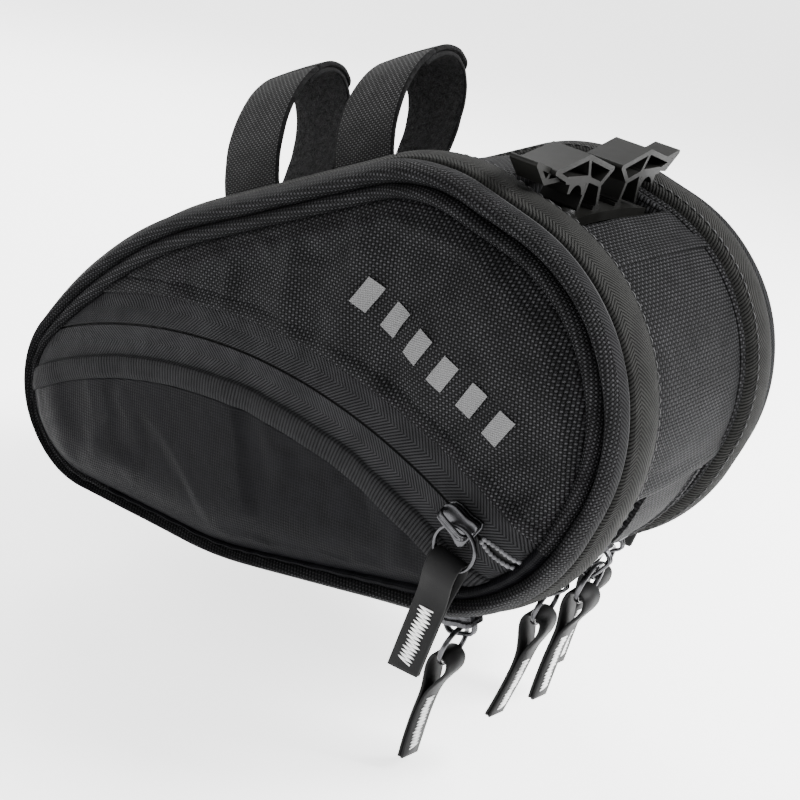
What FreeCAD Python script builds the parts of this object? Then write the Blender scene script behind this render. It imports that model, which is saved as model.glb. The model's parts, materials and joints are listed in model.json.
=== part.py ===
import FreeCAD, Part
import math
import os

# Saddle bag with a quick-release rail clip, two hook-and-loop straps, a clamshell side panel,
# zipped side pockets and two expander zips. Millimetres.
# +X points to the bike's rear, +Z up, -Y is the near side.
# The origin is midway between the two saddle rails, in the clip's seats.

V = FreeCAD.Vector

# ---- driving dimensions -------------------------------------------------------------------

# Side profile: corners of the outer rim outline as (x, z, corner radius), counter-clockwise.
RIM_CORNERS = [(-128.5, -51.5, 140), (-181.5, -145.5, 35), (-60, -138, 106), (44.5, -110, 56),
               (67.5, -13, 58), (-23.5, 7.3, 47)]
REAR_CORNER = 3           # its arc carries the lower zips

HEM_Y = 33.0              # half width of the centre gusset, up to the zip band's hem
RIM_Y = 48.9              # outer face of the zip band
SPLIT_GAP = 0.3           # gap between the body and the clamshell side panel
BACKING = 2.0             # thickness of a side panel's stiff backing
GUSSET_INSET = 4.5        # the gusset lies this far inside the rim outline
GUSSET_T = 1.2
FOAM_T = 3.0
LINING_T = 0.5
COIL_T = 1.0
EXPANDER_TAPE_T = 0.6     # tape of an expander zip, on the foam
EXPANDER_COIL_T = 0.8     # its coil, on the tape
COIL_HALF = 2.5           # half width of a zip's coil

ROLL_INSET = (2.5, 11.0)  # sewn roll round the side panel, from the rim outline inwards
ROLL_PROUD = 5.0
DOME_PROUD = 9.8          # side panel's crown beyond its backing
POCKET_PROUD = 11.5
POCKET_WALL = 1.6

POCKET_CENTRE = (-50.0, -238.0)   # centre of the pocket zip's arc (x, z)
POCKET_R = 172.0                  # radius of the zip's closing line
TAPE_HALF = 9.5
BINDING_W = 7.5
POCKET_SLIDER_ANGLE = 66.0        # where the closed pocket slider stands on the arc, degrees

STRIP_Y = 20.0            # half width of the lower gusset strip
EXPANDER_Y = 25.5         # centre line of each expander zip
MAIN_ZIP_Y = 44.5         # line of the main zip's slider on the rim band

RAIL_Y = 22.4             # rail centre from the bag's middle
RAIL_SEAT_R = 3.6
CLIP_DEPTH = 12.0
CLIP_X = -5.5             # front face of the clip
PIVOT = (7.0, -3.1)       # y, z of a jaw's pivot bead
PIVOT_R = 0.95
PIVOT_PLAY = 0.05

STRAP_W = 19.5            # strap width measured along X (its edge follows the sloping top)
STRAP_T = 1.6
STRAP_GAP = 0.3
FOOT_GAP = 1.1            # the strap's feet stand this far above the gusset, over their patch

SLIDER_L, SLIDER_W, SLIDER_T = 11.0, 9.0, 2.4
SLIDER_GAP = 0.3          # a slider runs this far off its zip
CROWN_H, CROWN_T, CROWN_W = 3.2, 1.0, 2.0
WIRE_R = 0.65
RING_R = 6.2              # pull ring, wire centre
EYE_R, EYE_HOLE_R = 3.5, 2.75
TAB_W, TAB_L, TAB_T = 9.0, 36.0, 2.0
HANG = V(-0.122, 0, -0.993).normalize()             # direction in which the pulls hang
POCKET_RING_DROP = V(0.4, 0, -0.917).normalize()    # the pocket's ring lies a little along its zip


# ---- outline helpers ----------------------------------------------------------------------

def inset_corners(corners, inset):
    """The corners of the outline moved inwards by inset, with matching radii."""
    moved = []
    count = len(corners)
    for i, (x, z, r) in enumerate(corners):
        before, after = corners[i - 1], corners[(i + 1) % count]
        d0 = V(x - before[0], 0, z - before[1]).normalize()
        d1 = V(after[0] - x, 0, after[1] - z).normalize()
        half = math.acos(max(-1, min(1, d0.dot(d1)))) / 2
        inward = (d1 - d0).normalize() * (inset / math.cos(half))
        moved.append((x + inward.x, z + inward.z, r - inset))
    return moved


def corner_arc(corners, i):
    """Start, middle, end and centre of the arc that rounds corner i."""
    x, z, r = corners[i]
    before, after = corners[i - 1], corners[(i + 1) % len(corners)]
    p = V(x, 0, z)
    a = (V(before[0], 0, before[1]) - p).normalize()
    b = (V(after[0], 0, after[1]) - p).normalize()
    half = math.acos(a.dot(b)) / 2
    towards = (a + b).normalize()
    centre = p + towards * (r / math.sin(half))
    reach = r / math.tan(half)
    return p + a * reach, centre - towards * r, p + b * reach, centre


def outline(inset, y):
    """The rim outline moved inwards by inset, as a wire at the given y."""
    corners = inset_corners(RIM_CORNERS, inset)
    arcs = [corner_arc(corners, i) for i in range(len(corners))]
    edges = []
    for i, (start, middle, end, _) in enumerate(arcs):
        edges.append(Part.Arc(start, middle, end).toShape())
        edges.append(Part.LineSegment(end, arcs[(i + 1) % len(arcs)][0]).toShape())
    wire = Part.Wire(edges)
    wire.translate(V(0, y, 0))
    return wire


def slab(inset, y0, y1):
    """A plate with the rim outline moved inwards by inset, from y0 to y1."""
    return Part.Face(outline(inset, y0)).extrude(V(0, y1 - y0, 0))


def skin(levels):
    """A solid through outlines, each level an (inset, y)."""
    return Part.makeLoft([outline(inset, y) for inset, y in levels], True, True)


def ring(levels, inner_inset):
    ys = [y for _, y in levels]
    return skin(levels).cut(slab(inner_inset, min(ys) - 1, max(ys) + 1))


def sector(start_deg, end_deg, hub=(-30.0, -60.0), reach=260.0):
    """A wedge about the hub, seen from the near side, angles from +X towards +Z."""
    steps = max(2, int(abs(end_deg - start_deg) / 30) + 1)
    points = [V(hub[0], -200, hub[1])]
    for i in range(steps + 1):
        a = math.radians(start_deg + (end_deg - start_deg) * i / steps)
        points.append(V(hub[0] + reach * math.cos(a), -200, hub[1] + reach * math.sin(a)))
    points.append(points[0])
    return Part.Face(Part.makePolygon(points)).extrude(V(0, 400, 0))


def box(x0, x1, y0, y1, z0, z1):
    return Part.makeBox(x1 - x0, y1 - y0, z1 - z0, V(x0, y0, z0))


def rod(start, end, radius):
    return Part.makeCylinder(radius, (end - start).Length, start, end - start)


def mirrored(shape):
    return shape.mirror(V(0, 0, 0), V(0, 1, 0))


def place(shape, origin, x_dir, z_dir):
    """Moves a shape from its own axes to origin, with its +X and +Z along the given directions."""
    y_dir = z_dir.cross(x_dir)
    moved = shape.copy()
    moved.Placement = FreeCAD.Placement(origin, FreeCAD.Rotation(x_dir, y_dir, z_dir, "ZXY"))
    return moved


# ---- body: foam, lining, gusset, zip bands ---------------------------------------------------

FOAM_INSET = GUSSET_INSET + GUSSET_T
INNER_INSET = FOAM_INSET + FOAM_T

# Seams of the gusset, as angles about the sector hub.
TOP_FRONT_SEAM = 72.0
REAR_TOP_SEAM = 42.0
REAR_LOW_SEAM = -7.0
STRIP_END = -75.0
NOSE_LOW = -140.0
NOSE_TOP = -195.0

CLIP_POCKET = box(-12, 12, -26, 26, -8.3, 20)


def foam_shell():
    block = skin([(FOAM_INSET, -RIM_Y), (FOAM_INSET, RIM_Y)])
    return block.cut(slab(INNER_INSET, -60, 60)).cut(tray_block())


def lining():
    return slab(INNER_INSET, -RIM_Y, RIM_Y).cut(slab(INNER_INSET + LINING_T, -60, 60)).cut(tray_block())


def gusset_panel(start, end, half_width=HEM_Y - 0.1):
    band = slab(GUSSET_INSET, -half_width, half_width).cut(slab(FOAM_INSET, -60, 60))
    return band.common(sector(start, end)).cut(tray_block())


def zip_band():
    """Near zip band: padded herringbone tape round the rim, with the coil under it."""
    levels = [(1.8, -RIM_Y), (0.2, -RIM_Y + 2.5), (0.0, -41), (0.4, -36), (1.4, -HEM_Y)]
    tape = ring(levels, FOAM_INSET - COIL_T)
    coil = slab(FOAM_INSET - COIL_T, -MAIN_ZIP_Y - COIL_HALF, -MAIN_ZIP_Y + COIL_HALF)
    coil = coil.cut(slab(FOAM_INSET, -60, 60))
    return Part.makeCompound([tape, coil])


def hem_piping():
    """Stitched hems along the gusset's two edges."""
    hem = ring([(GUSSET_INSET - 1.4, -HEM_Y + 0.1), (GUSSET_INSET - 1.0, -HEM_Y + 2.2)], GUSSET_INSET)
    hem = hem.cut(tray_block())
    return Part.makeCompound([hem, mirrored(hem)])


def expander_zip():
    """Near expander zip: tape in the channel beside the lower strip, and its coil."""
    span = sector(REAR_LOW_SEAM - 1, STRIP_END)
    inner, outer = STRIP_Y + 0.2, HEM_Y - 2.4
    tape_inset = FOAM_INSET - EXPANDER_TAPE_T
    tape = slab(tape_inset, -outer, -inner).cut(slab(FOAM_INSET, -60, 60))
    coil = slab(tape_inset - EXPANDER_COIL_T, -EXPANDER_Y - COIL_HALF, -EXPANDER_Y + COIL_HALF)
    coil = coil.cut(slab(tape_inset, -60, 60))
    return Part.makeCompound([tape.common(span), coil.common(span)])


# ---- side panels and pockets ------------------------------------------------------------------

SIDE_Y = -RIM_Y - SPLIT_GAP            # inner face of the near side panel
FACE_Y = SIDE_Y - BACKING              # where the roll and the panel start


def pocket_zone(r0, r1):
    """The part of the side within two radii of the pocket zip's arc centre."""
    centre = V(POCKET_CENTRE[0], -100, POCKET_CENTRE[1])
    zone = Part.makeCylinder(r1, 200, centre, V(0, 1, 0))
    if r0 > 0:
        zone = zone.cut(Part.makeCylinder(r0, 200, centre, V(0, 1, 0)))
    return zone


def side_backing():
    return slab(ROLL_INSET[0], SIDE_Y, FACE_Y)


def side_roll():
    crown = FACE_Y - ROLL_PROUD
    return ring([(ROLL_INSET[0], FACE_Y), (ROLL_INSET[0] + 0.3, crown + 2), (ROLL_INSET[0] + 2.4, crown)],
                ROLL_INSET[1])


def side_panel():
    start = ROLL_INSET[1] + 0.2
    levels = [(start, FACE_Y), (start + 1.2, FACE_Y - 4), (start + 6, FACE_Y - 8),
              (start + 13, FACE_Y - DOME_PROUD)]
    return skin(levels).cut(pocket_zone(0, POCKET_R + TAPE_HALF))


def pocket_wall():
    """Bulged front wall of the pocket, open at the back where the side panel's backing closes it."""
    start = ROLL_INSET[1] + 0.2
    crown = FACE_Y - POCKET_PROUD
    outer = skin([(start, FACE_Y), (start + 0.8, FACE_Y - 5), (start + 4, crown + 2), (start + 11, crown)])
    hollow = skin([(start + POCKET_WALL, FACE_Y + 1), (start + POCKET_WALL + 0.8, FACE_Y - 4.5),
                   (start + POCKET_WALL + 4, crown + 3), (start + POCKET_WALL + 10, crown + POCKET_WALL)])
    return outer.cut(hollow)


def pocket_parts():
    wall = pocket_wall()
    edge = POCKET_R - TAPE_HALF
    tape = wall.common(pocket_zone(edge, POCKET_R + TAPE_HALF))
    crown = FACE_Y - POCKET_PROUD + POCKET_WALL
    inside = skin([(16, crown + 1), (24, crown)])
    inside = inside.common(pocket_zone(POCKET_R - COIL_HALF, POCKET_R + COIL_HALF))
    return {
        "pocket_panel": wall.common(pocket_zone(0, edge - BINDING_W)),
        "pocket_binding": wall.common(pocket_zone(edge - BINDING_W, edge)),
        "pocket_zip": Part.makeCompound([tape, inside]),
    }


def reflective_bars():
    """Six plain slanted bars printed on the side panel."""
    top = FACE_Y - DOME_PROUD
    start, step, size, lean = V(-26, top, -30), V(9.6, 0, -3.6), 5.2, V(-4.0, 0, -8.4)
    bars = []
    for i in range(6):
        corner = start + step * i
        across = V(size * 0.94, 0, -size * 0.35)
        points = [corner, corner + across, corner + across + lean, corner + lean, corner]
        bars.append(Part.Face(Part.makePolygon(points)).extrude(V(0, -0.25, 0)))
    return Part.makeCompound(bars)


def side_parts():
    parts = {"side_backing": side_backing(), "side_roll": side_roll(), "side_panel": side_panel(),
             "reflective_bars": reflective_bars()}
    parts.update(pocket_parts())
    return parts


# ---- rail clip --------------------------------------------------------------------------------

def tray_block():
    return box(-13.6, 13.6, -27.6, 27.6, -10.3, 20)


def clip_tray():
    """Stiff tray let into the top, on which the clip is screwed."""
    tray = box(-13.5, 13.5, -27.5, 27.5, -10.2, -4.2).cut(CLIP_POCKET)
    for y in (-13, 13):
        tray = tray.cut(rod(V(0, y, -20), V(0, y, 0), 2.0))
    return tray


def extruded_yz(points, x0, depth):
    face = Part.Face(Part.makePolygon([V(x0, y, z) for y, z in points + points[:1]]))
    return face.extrude(V(depth, 0, 0))


def clip_base():
    """Arched plate with a socket ridge for each jaw."""
    x0, depth = CLIP_X - 2, CLIP_DEPTH + 4
    top = Part.Arc(V(x0, -22.7, -5.4), V(x0, 0, -4.2), V(x0, 22.7, -5.4)).toShape()
    low = Part.Arc(V(x0, 22.7, -8.0), V(x0, 0, -7.0), V(x0, -22.7, -8.0)).toShape()
    ends = [Part.LineSegment(V(x0, 22.7, -5.4), V(x0, 22.7, -8.0)).toShape(),
            Part.LineSegment(V(x0, -22.7, -8.0), V(x0, -22.7, -5.4)).toShape()]
    base = Part.Face(Part.Wire([top, ends[0], low, ends[1]])).extrude(V(depth, 0, 0))
    for side in (-1, 1):
        y, z = PIVOT[0] * side, PIVOT[1]
        ridge = extruded_yz([(y - 2.2, z - 2.2), (y + 2.2, z - 2.2), (y + 1.9, z - 0.1), (y - 1.9, z - 0.1)],
                            CLIP_X, CLIP_DEPTH)
        base = base.fuse(ridge)
        base = base.cut(rod(V(CLIP_X - 3, y, z), V(CLIP_X + CLIP_DEPTH + 3, y, z), PIVOT_R + PIVOT_PLAY))
        base = base.cut(rod(V(0, 13 * side, -20), V(0, 13 * side, 0), 2.0))
    return base


def clip_screws():
    screws = []
    for y in (-13, 13):
        shank = rod(V(0, y, -12.5), V(0, y, -3.0), 1.95)
        head = rod(V(0, y, -4.3), V(0, y, -2.5), 3.2)
        nut = rod(V(0, y, -12.6), V(0, y, -10.3), 3.6)
        screws.append(shank.fuse(head).fuse(nut))
    return Part.makeCompound(screws)


def strut(start, end, thickness, x0, depth):
    """A bar of the clip's truss between two (y, z) points, with round ends."""
    a, b = V(x0, *start), V(x0, *end)
    along = (b - a).normalize()
    side = V(1, 0, 0).cross(along) * (thickness / 2)
    face = Part.Face(Part.makePolygon([a + side, b + side, b - side, a - side, a + side]))
    bar = face.extrude(V(depth, 0, 0))
    for p in (a, b):
        bar = bar.fuse(Part.makeCylinder(thickness / 2, depth, p, V(1, 0, 0)))
    return bar


def clip_jaw():
    """One wing of the clip on the +Y side: leg, rib, truss cells and the hooked tip."""
    inner_tip, peak, valley, tip = (3.2, 7.2), (19.3, 11.2), (36.2, 7.6), (44.2, 9.6)
    low, seat_out, seat_in, knee = (38.0, 4.6), (28.8, 5.2), (16.4, 4.9), (8.6, 3.0)
    foot, rib_foot = PIVOT, (18.2, -3.4)
    bars = [(inner_tip, peak, 1.5), (peak, valley, 1.5), (inner_tip, knee, 1.6), (knee, foot, 1.5),
            (knee, seat_in, 1.5), (seat_in, peak, 1.3), (seat_in, seat_out, 2.2), (seat_out, valley, 1.3),
            (seat_in, rib_foot, 1.3)]
    hook = [(valley, tip, 1.5), (tip, low, 1.5), (low, seat_out, 1.5), (low, valley, 1.2)]
    jaw = rod(V(CLIP_X, *PIVOT), V(CLIP_X + CLIP_DEPTH, *PIVOT), PIVOT_R)
    for start, end, t in bars:
        jaw = jaw.fuse(strut(start, end, t, CLIP_X, CLIP_DEPTH))
    for start, end, t in hook:
        jaw = jaw.fuse(strut(start, end, t, CLIP_X + 1.8, CLIP_DEPTH - 3.6))
    rail = rod(V(CLIP_X - 5, RAIL_Y, 0), V(CLIP_X + CLIP_DEPTH + 5, RAIL_Y, 0), RAIL_SEAT_R)
    saddle_points = [(17.6, 0.6), (17.6, 4.4), (27.2, 4.4), (27.2, 1.4), (25.4, 1.4)]
    saddle = extruded_yz(saddle_points, CLIP_X, CLIP_DEPTH)
    jaw = jaw.fuse(saddle).cut(rail)
    return jaw.removeSplitter()


# ---- hook-and-loop straps ----------------------------------------------------------------------

SLOPE_TOP, SLOPE_LOW = RIM_CORNERS[5], RIM_CORNERS[0]
SLOPE = V(SLOPE_TOP[0] - SLOPE_LOW[0], 0, SLOPE_TOP[1] - SLOPE_LOW[1]).normalize()


class Strap:
    """A strap loop: an ellipse across the bag, drawn out along the sloping top."""

    def __init__(self, x_rear, centre_y, half_w, half_h, lift):
        self.x_rear = x_rear
        self.a, self.b = half_w, half_h
        ground = SLOPE_TOP[1] + (x_rear - SLOPE_TOP[0]) * SLOPE.z / SLOPE.x
        self.base_z = ground - GUSSET_INSET / SLOPE.x
        self.centre = V(x_rear, centre_y, self.base_z + half_h + lift)

    def point(self, deg, inset):
        """Upper half: an ellipse. Below 0 and above 180 degrees the legs draw in towards their feet."""
        beyond = max(-deg, deg - 180, 0) / 90
        y = (self.a - inset) * (1 - 0.35 * beyond ** 2) * (1 if deg < 90 else -1)
        if beyond > 0:
            return self.centre + V(0, y, -(self.centre.z - self.base_z - FOOT_GAP) * beyond)
        a = math.radians(deg)
        return self.centre + V(0, (self.a - inset) * math.cos(a), (self.b - inset) * math.sin(a))

    def arc(self, start, end, inset_out):
        """The webbing between two angles, its outer face inset_out inside the loop's outside."""
        inset_in = inset_out + STRAP_T
        steps = 10
        angles = [start + (end - start) * i / steps for i in range(steps + 1)]
        outer = Part.BSplineCurve()
        outer.interpolate([self.point(a, inset_out) for a in angles])
        inner = Part.BSplineCurve()
        inner.interpolate([self.point(a, inset_in) for a in reversed(angles)])
        far_end = Part.LineSegment(self.point(end, inset_out), self.point(end, inset_in))
        near_end = Part.LineSegment(self.point(start, inset_in), self.point(start, inset_out))
        edges = [part.toShape() for part in (outer, far_end, inner, near_end)]
        run = SLOPE * (-STRAP_W / SLOPE.x)
        return Part.Face(Part.Wire(edges)).extrude(run)


FRONT_STRAP = Strap(-95.3, -2.0, 18.5, 23.2, 0.8)
REAR_STRAP = Strap(-59.6, 5.0, 20.0, 20.8, 0.8)
NEAR_FOOT, NEAR_TOP, TAB_END, FAR_TOP, FAR_FOOT = 270, 112, 38, 128, -90
TAB_LAP = 0.6             # degrees by which the end tab's webbing runs on into the leg's
PATCH_HALF, PATCH_T = 15.0, 0.5


def strap_parts(strap):
    return {
        "near_leg": strap.arc(NEAR_FOOT, NEAR_TOP + TAB_LAP, 0),
        "end_tab": strap.arc(NEAR_TOP - TAB_LAP, TAB_END, 0),
        "far_leg": strap.arc(FAR_FOOT, FAR_TOP, STRAP_T + STRAP_GAP),
    }


def strap_patches():
    """Webbing patches sewn on the sloping top under each strap."""
    patches = []
    for strap in (FRONT_STRAP, REAR_STRAP):
        corner = V(strap.x_rear, strap.centre.y - PATCH_HALF, strap.base_z)
        run = SLOPE * (-STRAP_W / SLOPE.x)
        normal = V(-SLOPE.z, 0, SLOPE.x) * PATCH_T
        side = Part.makePolygon([corner, corner + run, corner + run + normal, corner + normal, corner])
        face = Part.Face(side)
        patches.append(face.extrude(V(0, 2 * PATCH_HALF, 0)))
    return Part.makeCompound(patches)


# ---- sliders and pulls ---------------------------------------------------------------------------

def slider_body():
    """Slider in its own axes: +X along the zip, +Z outwards, with the crown bar along X."""
    half = SLIDER_L / 2
    plate = [(-half, 3.0), (-half + 1.4, 3.6), (1.0, 3.8), (half - 1.6, SLIDER_W / 2), (half, 3.2)]
    points = [V(x, y, 0) for x, y in plate] + [V(x, -y, 0) for x, y in reversed(plate)]
    body = Part.Face(Part.makePolygon(points + points[:1])).extrude(V(0, 0, SLIDER_T))
    arch = [(-4.8, 0), (-4.2, CROWN_H), (4.2, CROWN_H), (4.8, 0)]
    hole = [(-3.9, -0.5), (-3.5, CROWN_H - CROWN_T), (3.5, CROWN_H - CROWN_T), (3.9, -0.5)]
    frames = []
    for side_points, width in ((arch, CROWN_W), (hole, CROWN_W + 2)):
        points = [V(x, -width / 2, SLIDER_T + z) for x, z in side_points]
        frames.append(Part.Face(Part.makePolygon(points + points[:1])).extrude(V(0, width, 0)))
    return body.fuse(frames[0].cut(frames[1])).removeSplitter()


CROWN_WIRE_Z = SLIDER_T + CROWN_H - CROWN_T - WIRE_R - 0.15


def pull_ring():
    """Round wire ring in its own axes: it passes the crown at the origin and hangs along -Z, across Y."""
    return Part.makeTorus(RING_R, WIRE_R, V(0, 0, -RING_R), V(1, 0, 0))


def pull_tab():
    """Folded tab in its own axes: the ring's lowest point at the origin, hanging along -Z, width along Y."""
    half_w = TAB_W / 2
    rise = RING_R - math.sqrt(RING_R ** 2 - half_w ** 2)
    eye_z = rise + WIRE_R * 1.8 - EYE_HOLE_R
    eye = rod(V(0, -half_w, eye_z), V(0, half_w, eye_z), EYE_R)
    neck = [(-EYE_R * 0.95, eye_z - 1.0), (EYE_R * 0.95, eye_z - 1.0), (TAB_T / 2, -9.0), (-TAB_T / 2, -9.0)]
    strip = [(-TAB_T / 2, -8.9), (TAB_T / 2, -8.9), (TAB_T / 2, -TAB_L), (-TAB_T / 2, -TAB_L)]
    tab = eye
    for points in (neck, strip):
        wire = Part.makePolygon([V(x, -half_w, z) for x, z in points + points[:1]])
        tab = tab.fuse(Part.Face(wire).extrude(V(0, TAB_W, 0)))
    tab = tab.cut(rod(V(0, -half_w - 1, eye_z), V(0, half_w + 1, eye_z), EYE_HOLE_R))
    corner = Part.makePolygon([V(-5, -half_w - 1, -TAB_L + 4.5), V(-5, half_w + 1, -TAB_L),
                               V(-5, half_w + 1, -TAB_L - 2), V(-5, -half_w - 1, -TAB_L - 2),
                               V(-5, -half_w - 1, -TAB_L + 4.5)])
    return tab.cut(Part.Face(corner).extrude(V(10, 0, 0))).removeSplitter()


class Pull:
    """A slider at origin with its ring hanging along ring_drop and the tab along HANG."""

    def __init__(self, origin, travel, outward, ring_drop):
        self.ring_at = origin + outward * CROWN_WIRE_Z
        self.ring_axis = ring_drop.cross(outward).normalize()
        self.tab_at = self.ring_at + ring_drop * RING_R + HANG * RING_R
        self.tab_axis = HANG.cross(outward).normalize()
        if abs(outward.y) < 0.5:
            self.ring_axis = self.tab_axis = V(0, 1, 0)
        self.shapes = {
            "slider": place(slider_body(), origin, travel, outward),
            "ring": place(pull_ring(), self.ring_at, self.ring_axis.cross(ring_drop * -1), ring_drop * -1),
            "tab": place(pull_tab(), self.tab_at, self.tab_axis.cross(HANG * -1), HANG * -1),
        }


def rear_arc_frame(angle_deg, y, inset):
    """Point on the lower rear arc of the outline, with its tangent and outward normal."""
    centre = corner_arc(RIM_CORNERS, REAR_CORNER)[3]
    r = RIM_CORNERS[REAR_CORNER][2] - inset
    a = math.radians(angle_deg)
    outward = V(math.cos(a), 0, math.sin(a))
    tangent = V(-math.sin(a), 0, math.cos(a))
    return V(centre.x, y, centre.z) + outward * r, tangent, outward


def pulls():
    """All near-side and rear pulls by name."""
    sets = {}
    expander_inset = FOAM_INSET - EXPANDER_TAPE_T - EXPANDER_COIL_T - SLIDER_GAP
    places = {"main_zip": (-68.0, -MAIN_ZIP_Y, -0.35),
              "near_expander_upper": (-30.0, -EXPANDER_Y, expander_inset),
              "near_expander_lower": (-47.0, -EXPANDER_Y, expander_inset),
              "far_expander": (-55.0, EXPANDER_Y, expander_inset)}
    for name, (angle, y, inset) in places.items():
        origin, tangent, outward = rear_arc_frame(angle, y, inset)
        sets[name] = Pull(origin, tangent, outward, HANG)
    a = math.radians(POCKET_SLIDER_ANGLE)
    origin = V(POCKET_CENTRE[0] + POCKET_R * math.cos(a), FACE_Y - POCKET_PROUD - SLIDER_GAP,
               POCKET_CENTRE[1] + POCKET_R * math.sin(a))
    sets["near_pocket"] = Pull(origin, V(math.sin(a), 0, -math.cos(a)), V(0, -1, 0), POCKET_RING_DROP)
    return sets


# ---- all nodes -------------------------------------------------------------------------------------

def build():
    nodes = {
        "foam_shell": foam_shell(),
        "lining": lining(),
        "gusset_top_front": gusset_panel(TOP_FRONT_SEAM, NOSE_TOP + 360),
        "gusset_clip_panel": gusset_panel(REAR_TOP_SEAM, TOP_FRONT_SEAM),
        "gusset_rear_patch": gusset_panel(REAR_LOW_SEAM, REAR_TOP_SEAM),
        "gusset_lower_strip": gusset_panel(STRIP_END, REAR_LOW_SEAM, STRIP_Y),
        "gusset_bottom": gusset_panel(NOSE_LOW, STRIP_END),
        "nose_panel": gusset_panel(NOSE_TOP, NOSE_LOW),
        "near_zip_band": zip_band(),
        "far_zip_band": mirrored(zip_band()),
        "hem_piping": hem_piping(),
        "near_expander_zip": expander_zip(),
        "far_expander_zip": mirrored(expander_zip()),
        "clip_tray": clip_tray(),
        "clip_base": clip_base(),
        "clip_screws": clip_screws(),
        "far_clip_jaw": clip_jaw(),
        "near_clip_jaw": mirrored(clip_jaw()),
        "strap_patches": strap_patches(),
    }
    for name, shape in side_parts().items():
        nodes["near_" + name] = shape
        nodes["far_" + name] = mirrored(shape)
    for label, strap in (("front_strap", FRONT_STRAP), ("rear_strap", REAR_STRAP)):
        for name, shape in strap_parts(strap).items():
            nodes[label + "_" + name] = shape
    for label, pull in pulls().items():
        for name, shape in pull.shapes.items():
            nodes[label + "_" + name] = shape
            if label == "near_pocket":
                nodes["far_pocket_" + name] = mirrored(shape)
    return nodes


os.makedirs("parts", exist_ok=True)
for node, shape in build().items():
    shape.exportStep("parts/" + node + ".step")
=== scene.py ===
import json
import math

import bmesh
import bpy
import numpy as np
from mathutils import Matrix, Vector
from mathutils.bvhtree import BVHTree


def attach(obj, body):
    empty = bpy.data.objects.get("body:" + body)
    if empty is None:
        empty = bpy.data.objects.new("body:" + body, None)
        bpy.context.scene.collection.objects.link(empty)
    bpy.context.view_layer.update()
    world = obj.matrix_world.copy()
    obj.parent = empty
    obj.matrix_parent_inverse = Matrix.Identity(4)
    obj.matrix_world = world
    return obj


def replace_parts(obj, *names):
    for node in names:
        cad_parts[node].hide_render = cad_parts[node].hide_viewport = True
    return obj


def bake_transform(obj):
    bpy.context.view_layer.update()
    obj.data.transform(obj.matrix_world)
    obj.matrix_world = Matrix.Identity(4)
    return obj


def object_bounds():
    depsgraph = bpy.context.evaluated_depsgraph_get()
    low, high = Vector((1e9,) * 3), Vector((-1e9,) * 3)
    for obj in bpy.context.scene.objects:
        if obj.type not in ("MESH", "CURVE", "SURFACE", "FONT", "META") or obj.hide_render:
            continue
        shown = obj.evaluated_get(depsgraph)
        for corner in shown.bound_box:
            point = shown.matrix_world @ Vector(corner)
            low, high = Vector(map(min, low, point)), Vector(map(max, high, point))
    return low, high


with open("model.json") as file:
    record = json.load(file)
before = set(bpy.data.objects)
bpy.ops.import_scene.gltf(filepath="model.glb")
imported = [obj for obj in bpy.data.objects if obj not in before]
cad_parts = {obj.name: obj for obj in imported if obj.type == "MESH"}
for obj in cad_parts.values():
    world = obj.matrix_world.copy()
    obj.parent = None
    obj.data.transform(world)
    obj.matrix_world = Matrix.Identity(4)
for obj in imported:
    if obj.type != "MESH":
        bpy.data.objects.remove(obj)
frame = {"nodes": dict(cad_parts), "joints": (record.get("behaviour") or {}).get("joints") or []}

# Saddle bag. Shapes are worked out in millimetres in the row frame and made in metres.
# +X points to the bike's rear, +Z up, -Y is the near side.

cad_box = [list(corner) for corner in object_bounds()]
MM = 0.001

# ---- driving dimensions, as in the CAD part ----

RIM_CORNERS = [(-128.5, -51.5, 140), (-181.5, -145.5, 35), (-60, -138, 106), (44.5, -110, 56),
               (67.5, -13, 58), (-23.5, 7.3, 47)]
RIM_STEPS = 480
FACE_Y = -51.2          # outside of the side's backing
HUB = (-30.0, -60.0)    # positions round the rim are given as angles about this point
POCKET_CENTRE = np.array([-50.0, -238.0])
POCKET_R = 172.0        # the pocket's zip is an arc about POCKET_CENTRE
TAPE_HALF = 9.5
BINDING_W = 7.5
SLIDER_TURN = math.radians(66)
GUSSET_INSET = 4.5
HEM_Y = 32.6            # half width of the gusset between its hems
STRIP_Y = 20.0          # half width of the lower strip
EXPANDER_Y = 25.5
STITCH_Y = 31.2         # the stitch rows along the gusset's edges
BAND_FOLD_Y = 46.2      # the band's herringbone turns here
# The seams across the gusset, as angles about the hub.
SEAMS = {"top_front": 72.0, "rear_top": 42.0, "rear_low": -7.0, "strip": -75.0, "nose_low": -140.0,
         "nose_top": -195.0}


# ---- outline ----

def smooth(t):
    """Eases from 0 to 1 as t does, and stays level outside that."""
    t = np.clip(t, 0, 1)
    return t * t * (3 - 2 * t)


def unit(v):
    """Vectors along the last axis, each divided by its length."""
    return v / np.linalg.norm(v, axis=-1, keepdims=True)


def distances(path, closed=False):
    """Distance along path at each of its points, and back at its start if it is closed."""
    if closed:
        path = np.vstack([path, path[:1]])
    return np.concatenate([[0], np.cumsum(np.linalg.norm(np.diff(path, axis=0), axis=1))])


def directions(path, closed=False):
    """Direction of path at each of its points."""
    ahead = np.roll(path, -1, axis=0) - np.roll(path, 1, axis=0)
    if not closed:
        ahead[0], ahead[-1] = path[1] - path[0], path[-1] - path[-2]
    return ahead


def spread(x, y, z):
    """Points from three coordinates, each an array or a number."""
    return np.stack(np.broadcast_arrays(x, y, z), axis=-1).astype(float)


def cloth_map(u, v):
    """UV places for every pair of a distance along and a distance across."""
    return np.stack(np.broadcast_arrays(u[:, None], v[None, :]), axis=2)


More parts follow.
